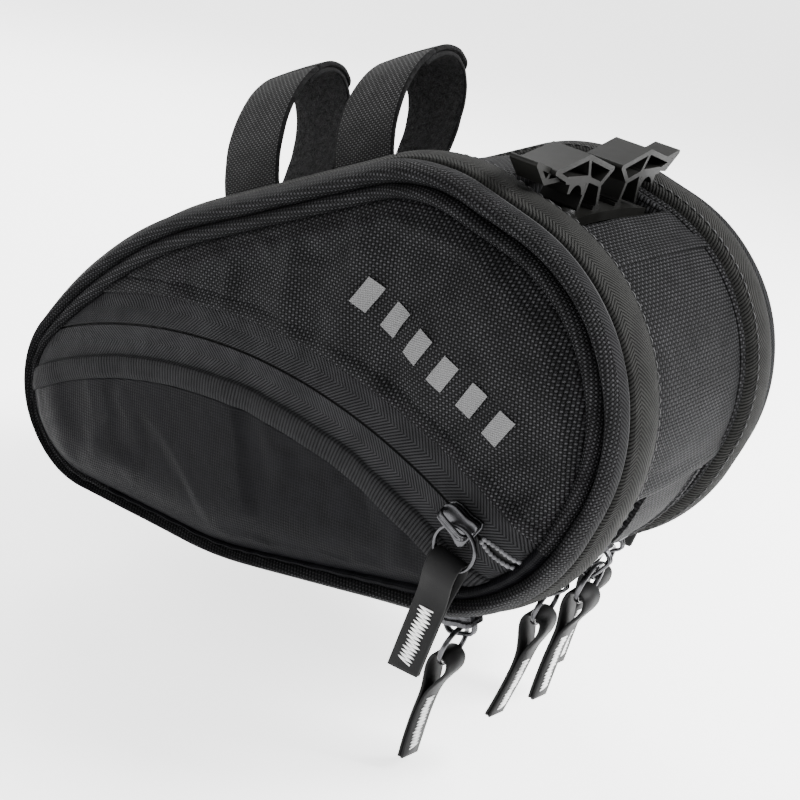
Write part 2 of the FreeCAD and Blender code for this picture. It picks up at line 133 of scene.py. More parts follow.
class Rim:
    """The rounded rim outline, sampled evenly along its length, with outward normals."""

    def __init__(self, corners, steps):
        arcs = []
        for i, (x, z, r) in enumerate(corners):
            p = np.array([x, z], float)
            a = unit(np.array(corners[i - 1][:2]) - p)
            b = unit(np.array(corners[(i + 1) % len(corners)][:2]) - p)
            half = math.acos(a @ b) / 2
            reach = r / math.tan(half)
            arcs.append((p + a * reach, p + b * reach, p + unit(a + b) * r / math.sin(half), r))
        pieces, self.corner_s, total = [], [], 0.0
        for i, (start, end, centre, r) in enumerate(arcs):
            first = math.atan2(*(start - centre)[::-1])
            turn = (math.atan2(*(end - centre)[::-1]) - first) % (2 * math.pi)
            pieces.append((total, ("arc", centre, r, first)))
            self.corner_s.append(total + turn * r / 2)
            total += turn * r
            following = arcs[(i + 1) % len(arcs)][0]
            length = np.linalg.norm(following - end)
            pieces.append((total, ("line", end, (following - end) / length)))
            total += length
        self.length = total
        self.s = np.arange(steps) * total / steps
        points, normals = [], []
        for s in self.s:
            begin, piece = [p for p in pieces if p[0] <= s][-1]
            if piece[0] == "arc":
                angle = piece[3] + (s - begin) / piece[2]
                normal = np.array([math.cos(angle), math.sin(angle)])
                point = piece[1] + normal * piece[2]
            else:
                normal = np.array([piece[2][1], -piece[2][0]])
                point = piece[1] + piece[2] * (s - begin)
            points.append(point)
            normals.append(normal)
        self.points, self.normals = np.array(points), np.array(normals)

    def keyed(self, values):
        """A value for each sample, easing between the given values at the corners."""
        order = list(range(len(values))) + [0]
        at = self.corner_s + [self.corner_s[0] + self.length]
        s = np.where(self.s < at[0], self.s + self.length, self.s)
        out = np.zeros(len(s))
        for i in range(len(values)):
            here = (s >= at[i]) & (s <= at[i + 1])
            t = smooth((s[here] - at[i]) / (at[i + 1] - at[i]))
            out[here] = values[order[i]] * (1 - t) + values[order[i + 1]] * t
        return out

    def s_at(self, degrees):
        """Position along the outline of the ray at an angle about the hub."""
        angles = np.degrees(np.arctan2(self.points[:, 1] - HUB[1], self.points[:, 0] - HUB[0]))
        off = np.abs((angles - degrees + 180) % 360 - 180)
        return self.s[int(np.argmin(off))]

    def at(self, s):
        """Points and normals at any positions along the outline."""
        f = (np.asarray(s) % self.length) / self.length * len(self.s)
        i = np.floor(f).astype(int) % len(self.s)
        j = (i + 1) % len(self.s)
        t = (f - np.floor(f))[:, None]
        normal = unit(self.normals[i] * (1 - t) + self.normals[j] * t)
        return self.points[i] * (1 - t) + self.points[j] * t, normal


rim = Rim(RIM_CORNERS, RIM_STEPS)
ROLL_END = rim.keyed([8.0, 4.8, 6.0, 7.4, 7.4, 8.4])         # inner edge of the outer roll, from the rim
PANEL_EDGE = rim.keyed([12.0, 6.4, 7.4, 10.6, 11.2, 11.6])   # where the side's own surface starts
GOLDEN_TURN = 2.399      # radians between the directions of a ripple's waves


def ripple(x, z, seed, size):
    """Soft irregular waves from -1 to 1 over a surface, with features of about the given size."""
    total = 0.0
    for k in range(5):
        turn = GOLDEN_TURN * (k + 1) + seed * 1.7
        stretch = size * (0.7 + 0.25 * k)
        along = x * math.cos(turn) + z * math.sin(turn)
        across = z * math.cos(turn * 1.3) - x * math.sin(turn * 1.3)
        first = np.sin(along / stretch * 2 + seed * 3.1 + k)
        total = total + first * np.sin(across / stretch * 1.3 + k * 2.1)
    return total / 2.6


# ---- mesh making ----

def linked(name, data):
    """A new object in the scene."""
    obj = bpy.data.objects.new(name, data)
    bpy.context.scene.collection.objects.link(obj)
    return obj


def coords(mesh):
    """Places of a mesh's vertices, in metres."""
    co = np.empty(len(mesh.vertices) * 3)
    mesh.vertices.foreach_get("co", co)
    return co.reshape(-1, 3)


def finish_mesh(name, verts, faces, uvs, materials, indices=None, towards=None):
    """A mesh object in metres, with a UV map in millimetres of cloth.

    The normals of a closed mesh are turned outwards, those of an open one towards a direction.
    """
    mesh = bpy.data.meshes.new(name)
    mesh.from_pydata((np.asarray(verts, float) * MM).tolist(), [], faces)
    layer = mesh.uv_layers.new(name="Fabric")
    layer.data.foreach_set("uv", np.asarray(uvs, np.float32).ravel())
    for m in materials:
        mesh.materials.append(m)
    if indices is not None:
        mesh.polygons.foreach_set("material_index", indices)
    mesh.polygons.foreach_set("use_smooth", [True] * len(mesh.polygons))
    work = bmesh.new()
    work.from_mesh(mesh)
    if towards is None:
        bmesh.ops.recalc_face_normals(work, faces=work.faces)
    elif sum((f.normal * f.calc_area() for f in work.faces), Vector()).dot(Vector(towards)) < 0:
        bmesh.ops.reverse_faces(work, faces=work.faces)
    work.to_mesh(mesh)
    work.free()
    return linked(name, mesh)


def grid(name, points, uv, materials, close_u=False, close_v=False, caps=False, pick=None, towards=None):
    """A mesh over points[i, j]; uv has one more row or column than points where the grid closes.

    caps closes the first and last rows of points, and pick(i, j) gives a face's material.
    """
    nu, nv = points.shape[:2]
    faces, loops, indices = [], [], []
    for i in range(nu if close_u else nu - 1):
        for j in range(nv if close_v else nv - 1):
            i1, j1 = (i + 1) % nu, (j + 1) % nv
            faces.append((i * nv + j, i1 * nv + j, i1 * nv + j1, i * nv + j1))
            loops += [uv[i, j], uv[i + 1, j], uv[i + 1, j + 1], uv[i, j + 1]]
            indices.append(pick(i, j) if pick else 0)
    if caps:
        for i in (0, nu - 1):
            ring = [i * nv + j for j in range(nv)]
            faces.append(ring if i else ring[::-1])
            flat = [uv[i, j] for j in range(nv)]
            loops += flat if i else flat[::-1]
            indices.append(indices[0])
    return finish_mesh(name, points.reshape(-1, 3), faces, loops, materials, indices, towards)


def mirrored(obj, name):
    """A copy of obj on the other side of the bag."""
    mesh = obj.data.copy()
    mesh.name = name
    mesh.vertices.foreach_set("co", (coords(mesh) * (1, -1, 1)).ravel())
    mesh.flip_normals()
    return linked(name, mesh)


def round_off(profile, parts, closed=True):
    """Smooth curve through control columns: profile is (samples, controls, coordinates)."""
    count = profile.shape[1]
    columns = []
    for j in range(count if closed else count - 1):
        about = [(j + k) % count if closed else min(max(j + k, 0), count - 1) for k in (-1, 0, 1, 2)]
        a, b, c, d = (profile[:, k] for k in about)
        for t in np.arange(parts) / parts:
            columns.append(0.5 * (2 * b + (c - a) * t + (2 * a - 5 * b + 4 * c - d) * t * t
                                  + (3 * b - a - 3 * c + d) * t ** 3))
    if not closed:
        columns.append(profile[:, -1])
    return np.stack(columns, axis=1)


SECTION_PARTS = 3        # columns of a swept section for each of its controls


def sweep(name, controls, materials, wave, seed, pick=None):
    """A closed section carried round the rim; each control is (inset, y), numbers or one per sample.

    wave is how much the section swells and shrinks on its way.
    """
    n = len(rim.s)
    columns = [np.stack([np.broadcast_to(d, n), np.broadcast_to(y, n)], axis=1) for d, y in controls]
    profile = round_off(np.stack(columns, axis=1).astype(float), parts=SECTION_PARTS)
    swell = wave * ripple(rim.s, rim.s * 0.3, seed, 17.0)
    middle = profile.mean(axis=1, keepdims=True)
    profile = middle + (profile - middle) * (1 + swell[:, None, None])
    xz = rim.points[:, None, :] - rim.normals[:, None, :] * profile[:, :, :1]
    points = spread(xz[:, :, 0], profile[:, :, 1], xz[:, :, 1])
    uv = cloth_map(np.append(rim.s, rim.length), distances(profile.mean(axis=0), closed=True))
    return grid(name, points, uv, materials, close_u=True, close_v=True,
                pick=(lambda i, j: pick(i, j // SECTION_PARTS)) if pick else None)


def tube(name, path, radius, materials, sides, normal):
    """A round cord along path; radius may vary, and normal must not run along the path."""
    path = np.asarray(path, float)
    ahead = unit(directions(path))
    across = unit(np.cross(ahead, np.asarray(normal, float)))
    up = np.cross(across, ahead)
    turns = np.arange(sides) * 2 * math.pi / sides
    ring = np.cos(turns)[None, :, None] * across[:, None, :] + np.sin(turns)[None, :, None] * up[:, None, :]
    points = path[:, None, :] + ring * np.broadcast_to(radius, len(path))[:, None, None]
    around = np.arange(sides + 1) * 2 * math.pi * float(np.mean(radius)) / sides
    return grid(name, points, cloth_map(distances(path), around), materials, close_v=True, caps=True)


def join(name, objs):
    """Several meshes as one object; materials keep their order of first use."""
    bpy.ops.object.select_all(action="DESELECT")
    for o in objs:
        o.select_set(True)
    bpy.context.view_layer.objects.active = objs[0]
    bpy.ops.object.join()
    objs[0].name = name
    objs[0].data.name = name
    return objs[0]


def place(obj, body, slot, replaces=()):
    """Makes obj ride on a body and hides the CAD nodes that it stands for; slot, meant for its finish, is
    not used.
    """
    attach(obj, body)
    if replaces:
        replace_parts(obj, *replaces)


# ---- materials ----

class Surface:
    """A Principled material and short ways to add nodes to it."""

    def __init__(self, name, colour, roughness, specular, metallic=0.0):
        self.material = bpy.data.materials.new(name)
        self.material.use_nodes = True
        self.tree = self.material.node_tree
        self.shader = self.tree.nodes["Principled BSDF"]
        self.shader.inputs["Base Color"].default_value = (*colour, 1)
        self.shader.inputs["Roughness"].default_value = roughness
        self.shader.inputs["Specular IOR Level"].default_value = specular
        self.shader.inputs["Metallic"].default_value = metallic

    def node(self, kind, inputs, **settings):
        """A new node; inputs gives its sockets links or values."""
        node = self.tree.nodes.new("ShaderNode" + kind)
        for key, value in settings.items():
            setattr(node, key, value)
        for socket, value in inputs.items():
            if isinstance(value, bpy.types.NodeSocket):
                self.tree.links.new(value, node.inputs[socket])
            else:
                node.inputs[socket].default_value = value
        return node

    def fabric(self):
        """Distances along and across the cloth, in millimetres, and the two as a vector."""
        uv = self.node("UVMap", {}, uv_map="Fabric").outputs[0]
        split = self.node("SeparateXYZ", {0: uv})
        return split.outputs[0], split.outputs[1], uv

    def space(self):
        """Place in the row frame, in millimetres."""
        where = self.node("TexCoord", {}).outputs["Object"]
        return self.node("VectorMath", {0: where, "Scale": 1 / MM}, operation="SCALE").outputs[0]

    def maths(self, operation, *values):
        return self.node("Math", dict(enumerate(values)), operation=operation).outputs[0]

    def times(self, a, b):
        return self.maths("MULTIPLY", a, b)

    def wave(self, value, pitch, power):
        """Half of a sine from 0 to 1 for every pitch of value, raised to a power."""
        bump = self.maths("ABSOLUTE", self.maths("SINE", self.times(value, math.pi / pitch)))
        return self.maths("POWER", bump, power)

    def noise(self, vector, scale, detail=2.0):
        return self.node("TexNoise", {"Scale": scale, "Detail": detail, "Vector": vector}).outputs["Fac"]

    def ramp(self, value, low, high, to_low=0.0, to_high=1.0):
        return self.node("MapRange", dict(enumerate((value, low, high, to_low, to_high)))).outputs[0]

    def colour(self, amount, low, high):
        mix = self.node("Mix", {0: amount, 6: (*low, 1), 7: (*high, 1)}, data_type="RGBA")
        self.tree.links.new(mix.outputs[2], self.shader.inputs["Base Color"])

    def relief(self, height, depth):
        """Bump of depth millimetres."""
        bump = self.node("Bump", {"Strength": 1.0, "Distance": depth * MM, "Height": height})
        self.tree.links.new(bump.outputs[0], self.shader.inputs["Normal"])

    def gloss(self, value):
        self.tree.links.new(value, self.shader.inputs["Roughness"])


def grey(value, tint=1.06):
    """A grey whose blue is tint times its red and green."""
    return (value, value, value * tint)


# Painted shade: the black where the weaves' threads dive and between the tapes' ribs.
PAINTED_SHADE_BLACK = grey(0.0002, 1.3)
RIB_PITCH = 1.15


def woven(name, dark, light, pitch, across=1.0, slant=0.0, depth=0.3, roughness=0.6, fuzz=0.15,
          specular=0.05):
    """Plain basket weave: threads pass over and under each other, painted dark where they dive as painted
    shade and light on the warp's tops as painted highlight.

    pitch is the threads' spacing, across its share the other way, slant the turn of the weave in radians,
    and fuzz how far single fibres roughen it.
    """
    s = Surface(name, light, roughness, specular)
    u, v, flat = s.fabric()
    if slant:
        cos, sin = math.cos(slant), math.sin(slant)
        u, v = (s.maths("ADD", s.times(u, cos), s.times(v, sin)),
                s.maths("SUBTRACT", s.times(v, cos), s.times(u, sin)))
    a = s.maths("SINE", s.times(u, math.pi / pitch))
    b = s.maths("SINE", s.times(v, math.pi / (pitch * across)))
    size_a, size_b = s.maths("ABSOLUTE", a), s.maths("ABSOLUTE", b)
    warp = s.times(s.maths("SQRT", size_a), s.maths("MULTIPLY_ADD", size_b, 0.6, 0.4))
    weft = s.times(s.maths("SQRT", size_b), s.times(size_a, 0.8))
    over = s.maths("GREATER_THAN", s.times(a, b), 0.0)
    fibres = s.noise(flat, 2.6, 3.0)
    height = s.maths("MULTIPLY_ADD", s.maths("SUBTRACT", warp, weft), over, weft)
    height = s.maths("MULTIPLY_ADD", fibres, fuzz, height)
    patches = s.noise(flat, 0.12, 3.0)
    # Painted light: the warp's tops are painted as bright highlight dots, and the weft dimmer and the dives
    # dark as painted shade.
    dots = s.times(s.times(warp, warp), over)
    threads = s.maths("MULTIPLY_ADD", s.maths("SUBTRACT", 1.0, over), s.times(weft, 0.42), dots)
    painted_light_and_tone = s.times(s.times(threads, s.ramp(fibres, 0.25, 0.75, 0.55, 1.4)),
                   s.ramp(patches, 0.25, 0.75, 0.65, 1.2))
    s.colour(s.maths("POWER", painted_light_and_tone, 1.25), dark, light)
    s.relief(height, depth)
    return s.material


def striped(name, light, lean=0.0, apex=0.0, fold=0.0, depth=0.3, edge=None):
    """Ribbed tape, or herringbone where the ribs lean away from v = apex + fold and apex - fold.

    edge gives how far from v = apex the ribs begin and are full.
    """
    s = Surface(name, light, 0.7, 0.05)
    u, v, flat = s.fabric()
    away = s.maths("ABSOLUTE", s.maths("SUBTRACT", v, apex))
    aside = s.maths("ABSOLUTE", s.maths("SUBTRACT", away, fold))
    rib = s.wave(s.maths("MULTIPLY_ADD", aside, lean, u), RIB_PITCH, 0.8)
    height = s.maths("MULTIPLY_ADD", s.wave(v, RIB_PITCH / 2, 0.7), 0.22, rib)
    height = s.maths("MULTIPLY_ADD", s.noise(flat, 3.0, 3.0), 0.35, height)
    if edge is not None:
        height = s.times(height, s.ramp(away, *edge))
    worn = s.ramp(s.noise(flat, 0.15), 0.25, 0.75, 0.7, 1.15)
    # Painted light: the ribs are painted lighter on their crests and black between them as shade; worn only
    # varies the colour at random.
    s.colour(s.times(s.ramp(height, 0.25, 1.35), worn), PAINTED_SHADE_BLACK, light)
    s.relief(height, depth)
    return s.material


def fuzzy(name, dark, light, scale, depth):
    """Loop pile or felted edge, painted light where it stands high and dark where it lies low: painted
    highlight and shade.
    """
    s = Surface(name, light, 0.95, 0.08)
    flat = s.fabric()[2]
    height = s.maths("MULTIPLY_ADD", s.noise(flat, scale * 0.3), 0.6, s.noise(flat, scale, 4.0))
    # Painted highlight and shade from the pile's height.
    s.colour(s.ramp(height, 0.45, 1.1), dark, light)
    s.relief(height, depth)
    return s.material


def solid(name, dark, light, roughness, grain, scale=0.08, depth=0.03, specular=0.5, metallic=0.0):
    """Moulded plastic, plating, foam or rubber, worked out in space so that it needs no cloth map.

    grain is the scale of its fine bumps, and scale that of its broad patches of colour and gloss.
    """
    s = Surface(name, light, roughness, specular, metallic)
    where = s.space()
    broad = s.noise(where, scale, 3.0)
    s.colour(s.ramp(broad, 0.3, 0.7), dark, light)
    s.gloss(s.ramp(broad, 0.3, 0.7, roughness - 0.08, roughness + 0.08))
    s.relief(s.noise(where, grain), depth)
    return s.material


def coated_cloth():
    """Smooth coated fabric: a faint fine emboss and soft creasing under a semi-gloss film, its colour
    painted lighter on the crests of the creasing and darker in its hollows as painted highlight and shade.
    """
    s = Surface("coated_fabric", (0.006, 0.006, 0.007), 0.42, 0.04)
    u, v, flat = s.fabric()
    emboss = s.times(s.wave(u, 0.9, 0.6), s.wave(v, 0.9, 0.6))
    creases_and_painted_sheen = s.noise(flat, 0.16, 4.0)
    # Painted highlight and shade: the colour follows the same noise as the crease bumps.
    s.colour(s.ramp(creases_and_painted_sheen, 0.3, 0.7), (0.0013, 0.0013, 0.0017), (0.0042, 0.0042, 0.0050))
    s.gloss(s.ramp(creases_and_painted_sheen, 0.3, 0.7, 0.36, 0.52))
    s.relief(s.maths("MULTIPLY_ADD", creases_and_painted_sheen, 3.0, emboss), 0.10)
    return s.material


def bars_print():
    """Grey reflective print, slightly broken by the weave under it."""
    s = Surface("reflective_print", (0.33, 0.33, 0.34), 0.5, 0.6)
    u, v, flat = s.fabric()
    dots = s.times(s.wave(u, 0.62, 0.5), s.wave(v, 0.62, 0.5))
    s.colour(s.maths("MULTIPLY_ADD", s.noise(flat, 2.0, 3.0), 0.4, s.times(dots, 0.6)),
             (0.03, 0.03, 0.031), (0.085, 0.085, 0.087))
    s.relief(dots, 0.12)
    return s.material


WEAVE = woven("ballistic_weave", PAINTED_SHADE_BLACK, grey(0.043), 0.95, across=0.85)
ROLL_WEAVE = woven("roll_weave", PAINTED_SHADE_BLACK, grey(0.041), 0.95, across=0.8, slant=0.55)
GUSSET_WEAVE = woven("gusset_weave", PAINTED_SHADE_BLACK, grey(0.038), 1.15, depth=0.35, specular=0.03)
BAND_TAPE = striped("band_herringbone", grey(0.021, 0.95), lean=1.0, apex=BAND_FOLD_Y)
INNER_TAPE = striped("inner_herringbone", grey(0.017), lean=-1.0)
POCKET_TAPE = striped("pocket_herringbone", grey(0.024), lean=1.0, apex=POCKET_R, fold=5.0, depth=0.35,
                      edge=(0.15, 0.5))
CHANNEL_TAPE = striped("channel_tape", grey(0.020), lean=1.0)
GROSGRAIN = striped("grosgrain", grey(0.017), depth=0.35)
COATED = coated_cloth()
PRINT = bars_print()
WEBBING = woven("strap_weave", grey(0.010, 1.0), grey(0.105, 1.01), 0.75, depth=0.25, roughness=0.85,
                fuzz=0.9, specular=0.08)
PILE = fuzzy("loop_pile", grey(0.0004, 1.0), grey(0.050, 1.02), 1.8, 0.5)
SELVEDGE = fuzzy("strap_edge", grey(0.001, 1.0), grey(0.014, 1.03), 1.2, 0.35)
STITCH = solid("black_thread", grey(0.006), grey(0.02), 0.6, 6.0, depth=0.05)
WHITE_THREAD = solid("white_thread", grey(0.70, 1.0), grey(0.88, 0.99), 0.55, 7.0, depth=0.06)
COIL = solid("zip_coil", grey(0.003), grey(0.009), 0.42, 2.0, specular=0.12)
# Painted highlight: a light grey copy of the dark coil, for the glints on the pocket zip's open coil.
PAINTED_HIGHLIGHT_TEETH = solid("zip_teeth_painted_highlight", grey(0.05), grey(0.16), 0.4, 3.0, specular=0.2)
PLASTIC = solid("clip_plastic", grey(0.0035, 0.9), grey(0.0065, 0.9), 0.42, 5.0, depth=0.012,
                specular=0.12)
GUNMETAL = solid("gunmetal", grey(0.035), grey(0.075), 0.27, 6.0, scale=0.25, depth=0.01, metallic=1.0)
RUBBER = solid("pull_rubber", grey(0.0012), grey(0.004), 0.55, 3.5, depth=0.05, specular=0.1)
STEEL = solid("steel", grey(0.32, 1.03), grey(0.5, 1.02), 0.35, 5.0, depth=0.008, metallic=1.0)
FOAM = solid("foam", grey(0.010), grey(0.022), 0.9, 1.2, scale=0.3, depth=0.25)
# Also dark for the sheet under the pocket zip's open gap, where it partly paints the shade inside the gap
# over the lining's own dark colour.
LINING = solid("lining", grey(0.004), grey(0.010), 0.6, 2.5, scale=0.06, depth=0.06)


# ---- rim: zip bands, rolls and hems ----

def build_band():
    """Outer tape of the main zip, padded, its fold tucked under at both edges."""
    controls = [(5.2, -33.4), (2.2, -33.8), (0.7, -36.0), (0.0, -40.0), (0.2, -44.0), (1.0, -46.8),
                (1.6, -48.3), (3.0, -48.9), (5.4, -48.9), (5.6, -41.0)]
    band = sweep("near_band", controls, [BAND_TAPE], 0.02, 1)
    # The weave's fold keeps to one distance from the bag's middle, so v is that distance.
    flat = np.empty((len(band.data.loops), 2), np.float32)
    band.data.uv_layers["Fabric"].data.foreach_get("uv", flat.ravel())
    corners = np.empty(len(flat), np.int32)
    band.data.loops.foreach_get("vertex_index", corners)
    flat[:, 1] = -coords(band.data)[corners, 1] / MM
    band.data.uv_layers["Fabric"].data.foreach_set("uv", flat.ravel())
    return band


def build_outer_roll():
    """Roll that carries the zip's inner tape and then folds over in ballistic weave."""
    crest = 2.5 + (ROLL_END - 2.5) * 0.45
    controls = [(4.2, -49.35), (2.6, -49.7), (1.9, -51.6), (2.5, -54.4), (crest, -57.2),
                (ROLL_END - 0.9, -55.4), (ROLL_END, -52.6), (ROLL_END - 0.6, -50.8)]
    return sweep("near_roll", controls, [INNER_TAPE, ROLL_WEAVE], 0.05, 2,
                 pick=lambda i, j: 0 if j < 3 else 1)


def build_inner_roll():
    """Thin second roll between the outer one and the side's own surface; a plain hem along the bottom."""
    mid = (ROLL_END + PANEL_EDGE) / 2
    low = rim.keyed([0.0, 0.6, 1.0, 0.4, 0.0, 0.0])
    crest = -57.3 + low * 1.6 + 0.25 * low * np.sin(rim.s / 1.3 + 2 * np.sin(rim.s / 9.0))
    controls = [(ROLL_END - 0.2, -52.0), (ROLL_END + 0.2, crest + 1.6), (mid + 0.2, crest),
                (PANEL_EDGE + 0.4, crest + 1.6), (PANEL_EDGE + 0.7, -52.4), (mid, -50.9)]
    bottom = rim.keyed([0.0, 0.0, 1.0, 0.6, 0.0, 0.0]) > 0.5
    return sweep("near_inner_roll", controls, [ROLL_WEAVE, COATED], 0.06, 3,
                 pick=lambda i, j: 1 if bottom[i] else 0)


def build_hem():
    """Thin piping where the band meets the gusset."""
    controls = [(4.9, -33.7), (3.9, -33.2), (3.7, -32.3), (3.9, -30.6), (4.9, -29.9), (5.4, -32.0)]
    return sweep("near_hem", controls, [GUSSET_WEAVE], 0.08, 4)


STITCH_POINTS, STITCH_SIDES = 4, 5


def stitch_line(name, path, normals, length, gap, radius):
    """Separate stitches along a path that lies on cloth; each arches a little along the normals."""
    steps = distances(path)
    lift = np.array([-0.5, 0.24, 0.24, -0.5])[:, None] * radius
    size = np.array([0.6, 1.0, 1.0, 0.6])[:, None] * radius
    verts, faces, uvs = [], [], []
    for k in range(int(steps[-1] / (length + gap))):
        at = k * (length + gap) + np.linspace(0, length, STITCH_POINTS)
        centre = np.stack([np.interp(at, steps, path[:, c]) for c in range(3)], axis=1)
        up = unit(np.stack([np.interp(at, steps, normals[:, c]) for c in range(3)], axis=1))
        side = np.cross(up, unit(centre[-1] - centre[0]))
        for turn in range(STITCH_SIDES):
            a = turn * 2 * math.pi / STITCH_SIDES
            verts.append(centre + up * (lift + size * math.sin(a)) + side * size * math.cos(a))
        base = k * STITCH_POINTS * STITCH_SIDES
        for i in range(STITCH_POINTS - 1):
            for j in range(STITCH_SIDES):
                here = base + j * STITCH_POINTS + i
                beside = base + (j + 1) % STITCH_SIDES * STITCH_POINTS + i
                faces.append((here, here + 1, beside + 1, beside))
                uvs += [(i, j), (i + 1, j), (i + 1, j + 1), (i, j + 1)]
    return finish_mesh(name, np.concatenate(verts), faces, uvs, [STITCH])


def build_band_stitches():
    """A row of stitches along the band's edge beside the gusset."""
    point, normal = rim.at(np.arange(0, rim.length - 1, 1.2))
    xz = point - normal * 0.75
    path = spread(xz[:, 0], -35.4, xz[:, 1])
    normals = spread(normal[:, 0], -0.25, normal[:, 1])
    return stitch_line("near_band_stitches", path, normals, 2.1, 1.0, 0.24)


# ---- side surfaces ----

def from_zip_centre(x, z):
    """Distance from the pocket zip's centre."""
    return np.hypot(x - POCKET_CENTRE[0], z - POCKET_CENTRE[1])


def depth_inside(x, z):
    """Distance inside the edge of the side's surface, for arrays of points."""
    flat = np.stack([np.ravel(x), np.ravel(z)], axis=1)
    out = np.empty(len(flat))
    batch = 4000
    for start in range(0, len(flat), batch):
        part = flat[start:start + batch]
        gap = rim.points[None, :, :] - part[:, None, :]
        near = np.argmin((gap ** 2).sum(axis=2), axis=1)
        off = ((rim.points[near] - part) * rim.normals[near]).sum(axis=1)
        out[start:start + batch] = off - PANEL_EDGE[near]
    return out.reshape(np.shape(x))


def crown(depth, edge, rise, run):
    """Padded rise over run millimetres from the edge inwards, and a fall under the rolls outside it."""
    t = np.clip(depth / run, 0, 1)
    return edge + np.clip(depth, -1.5, 0) * 1.2 + rise * np.sqrt(np.maximum(1 - (1 - t) ** 2, 0))


def plain_height(x, z):
    """How far the cloth stands out from the side's backing before the simulation."""
    depth = depth_inside(x, z)
    panel = crown(depth, edge=1.6, rise=7.2, run=19.0)
    pocket = crown(depth, edge=1.8, rise=8.6, run=17.0)
    share = smooth((from_zip_centre(x, z) - POCKET_R + 2) / 12)
    return pocket * (1 - share) + panel * share


def apply_modifier(obj, kind, **settings):
    """Adds a modifier to obj and applies it."""
    modifier = obj.modifiers.new(kind, kind)
    for key, value in settings.items():
        setattr(modifier, key, value)
    bpy.context.view_layer.objects.active = obj
    bpy.ops.object.modifier_apply(modifier=modifier.name)


PAD_RINGS, PAD_TURNS = 22, 120
PAD_SHARE = 0.9          # of the drawn height, so that the pad has room to swell
PAD_STEPS = 20           # of simulation
PAD_CAP = 3.0            # the furthest that a point may move
HELD_EDGE, HELD_BACK = 3.2, 2.0      # within these distances of its edge and back the pad is fixed
HELD_SEAM, SEAM_HOLD = 2.2, 0.55     # and this near the seam above the zip it is held partly
CLOTH = {"quality": 6, "mass": 0.2, "use_pressure": True, "uniform_pressure_force": 4.0,
         "vertex_group_mass": "held", "tension_stiffness": 18, "compression_stiffness": 18,
         "shear_stiffness": 9, "bending_stiffness": 1.2, "shrink_min": -0.05}


def closed_pad():
    """The side pad before it swells: rings that narrow to a tip, and a flat back."""
    pick = np.linspace(0, RIM_STEPS, PAD_TURNS, endpoint=False).astype(int)
    edge = (rim.points - rim.normals * (PANEL_EDGE + 1.0)[:, None])[pick]
    middle = np.array([-52.0, -66.0])
    share = (1 - np.linspace(0, 1, PAD_RINGS, endpoint=False)) ** 0.9
    xz = middle + (edge - middle)[None, :, :] * share[:, None, None]
    y = FACE_Y - plain_height(xz[:, :, 0], xz[:, :, 1]) * PAD_SHARE
    front = spread(xz[:, :, 0], y, xz[:, :, 1]).reshape(-1, 3)
    tip = np.array([[middle[0], FACE_Y - plain_height(middle[:1], middle[1:])[0] * PAD_SHARE, middle[1]]])
    back = spread(edge[:, 0], FACE_Y + 0.5, edge[:, 1])
    faces = []
    for i in range(PAD_RINGS - 1):
        for j in range(PAD_TURNS):
            here, beside = i * PAD_TURNS + j, i * PAD_TURNS + (j + 1) % PAD_TURNS
            faces.append((here, beside, beside + PAD_TURNS, here + PAD_TURNS))
    tip_at = PAD_RINGS * PAD_TURNS
    last, back_at = tip_at - PAD_TURNS, tip_at + 1
    for j in range(PAD_TURNS):
        j1 = (j + 1) % PAD_TURNS
        faces.append((last + j, last + j1, tip_at))
        faces.append((back_at + j, back_at + j1, j1, j))
    faces.append(tuple(back_at + j for j in range(PAD_TURNS))[::-1])
    uvs = np.zeros((sum(len(f) for f in faces), 2))
    return finish_mesh("pad", np.concatenate([front, tip, back]), faces, uvs, [FOAM])


def simulate_pad():
    """The side pad swelled by cloth simulation between its sewn edge and the pocket's seams."""
    pad = closed_pad()
    apply_modifier(pad, "REMESH", mode="VOXEL", voxel_size=0.0042)
    co = coords(pad.data) / MM
    depth = depth_inside(co[:, 0], co[:, 2])
    seam = np.abs(from_zip_centre(co[:, 0], co[:, 2]) - (POCKET_R + TAPE_HALF + 1.5)) < HELD_SEAM
    held = pad.vertex_groups.new(name="held")
    for k in range(len(co)):
        if depth[k] < HELD_EDGE or co[k, 1] > FACE_Y - HELD_BACK:
            held.add([k], 1.0, "REPLACE")
        elif seam[k]:
            held.add([k], SEAM_HOLD, "REPLACE")
    cloth = pad.modifiers.new("cloth", "CLOTH")
    for key, value in CLOTH.items():
        setattr(cloth.settings, key, value)
    cloth.settings.effector_weights.gravity = 0.0
    cloth.collision_settings.use_collision = False
    scene = bpy.context.scene
    scene.frame_start, scene.frame_end = 1, PAD_STEPS
    cloth.point_cache.frame_start, cloth.point_cache.frame_end = 1, PAD_STEPS
    for step in range(1, PAD_STEPS + 1):
        scene.frame_set(step)
    swelled = pad.evaluated_get(bpy.context.evaluated_depsgraph_get())
    shift = coords(swelled.to_mesh()) / MM - co
    swelled.to_mesh_clear()
    pad.modifiers.remove(cloth)
    scene.frame_set(1)
    length = np.linalg.norm(shift, axis=1)
    cap = np.minimum(1, PAD_CAP / np.maximum(length, 1e-6))[:, None]
    pad.data.vertices.foreach_set("co", ((co + shift * cap) * MM).ravel())
    apply_modifier(pad, "SUBSURF", levels=2, render_levels=2)
    tree = BVHTree.FromObject(pad, bpy.context.evaluated_depsgraph_get())
    bpy.data.objects.remove(pad)
    return tree


PAD = simulate_pad()


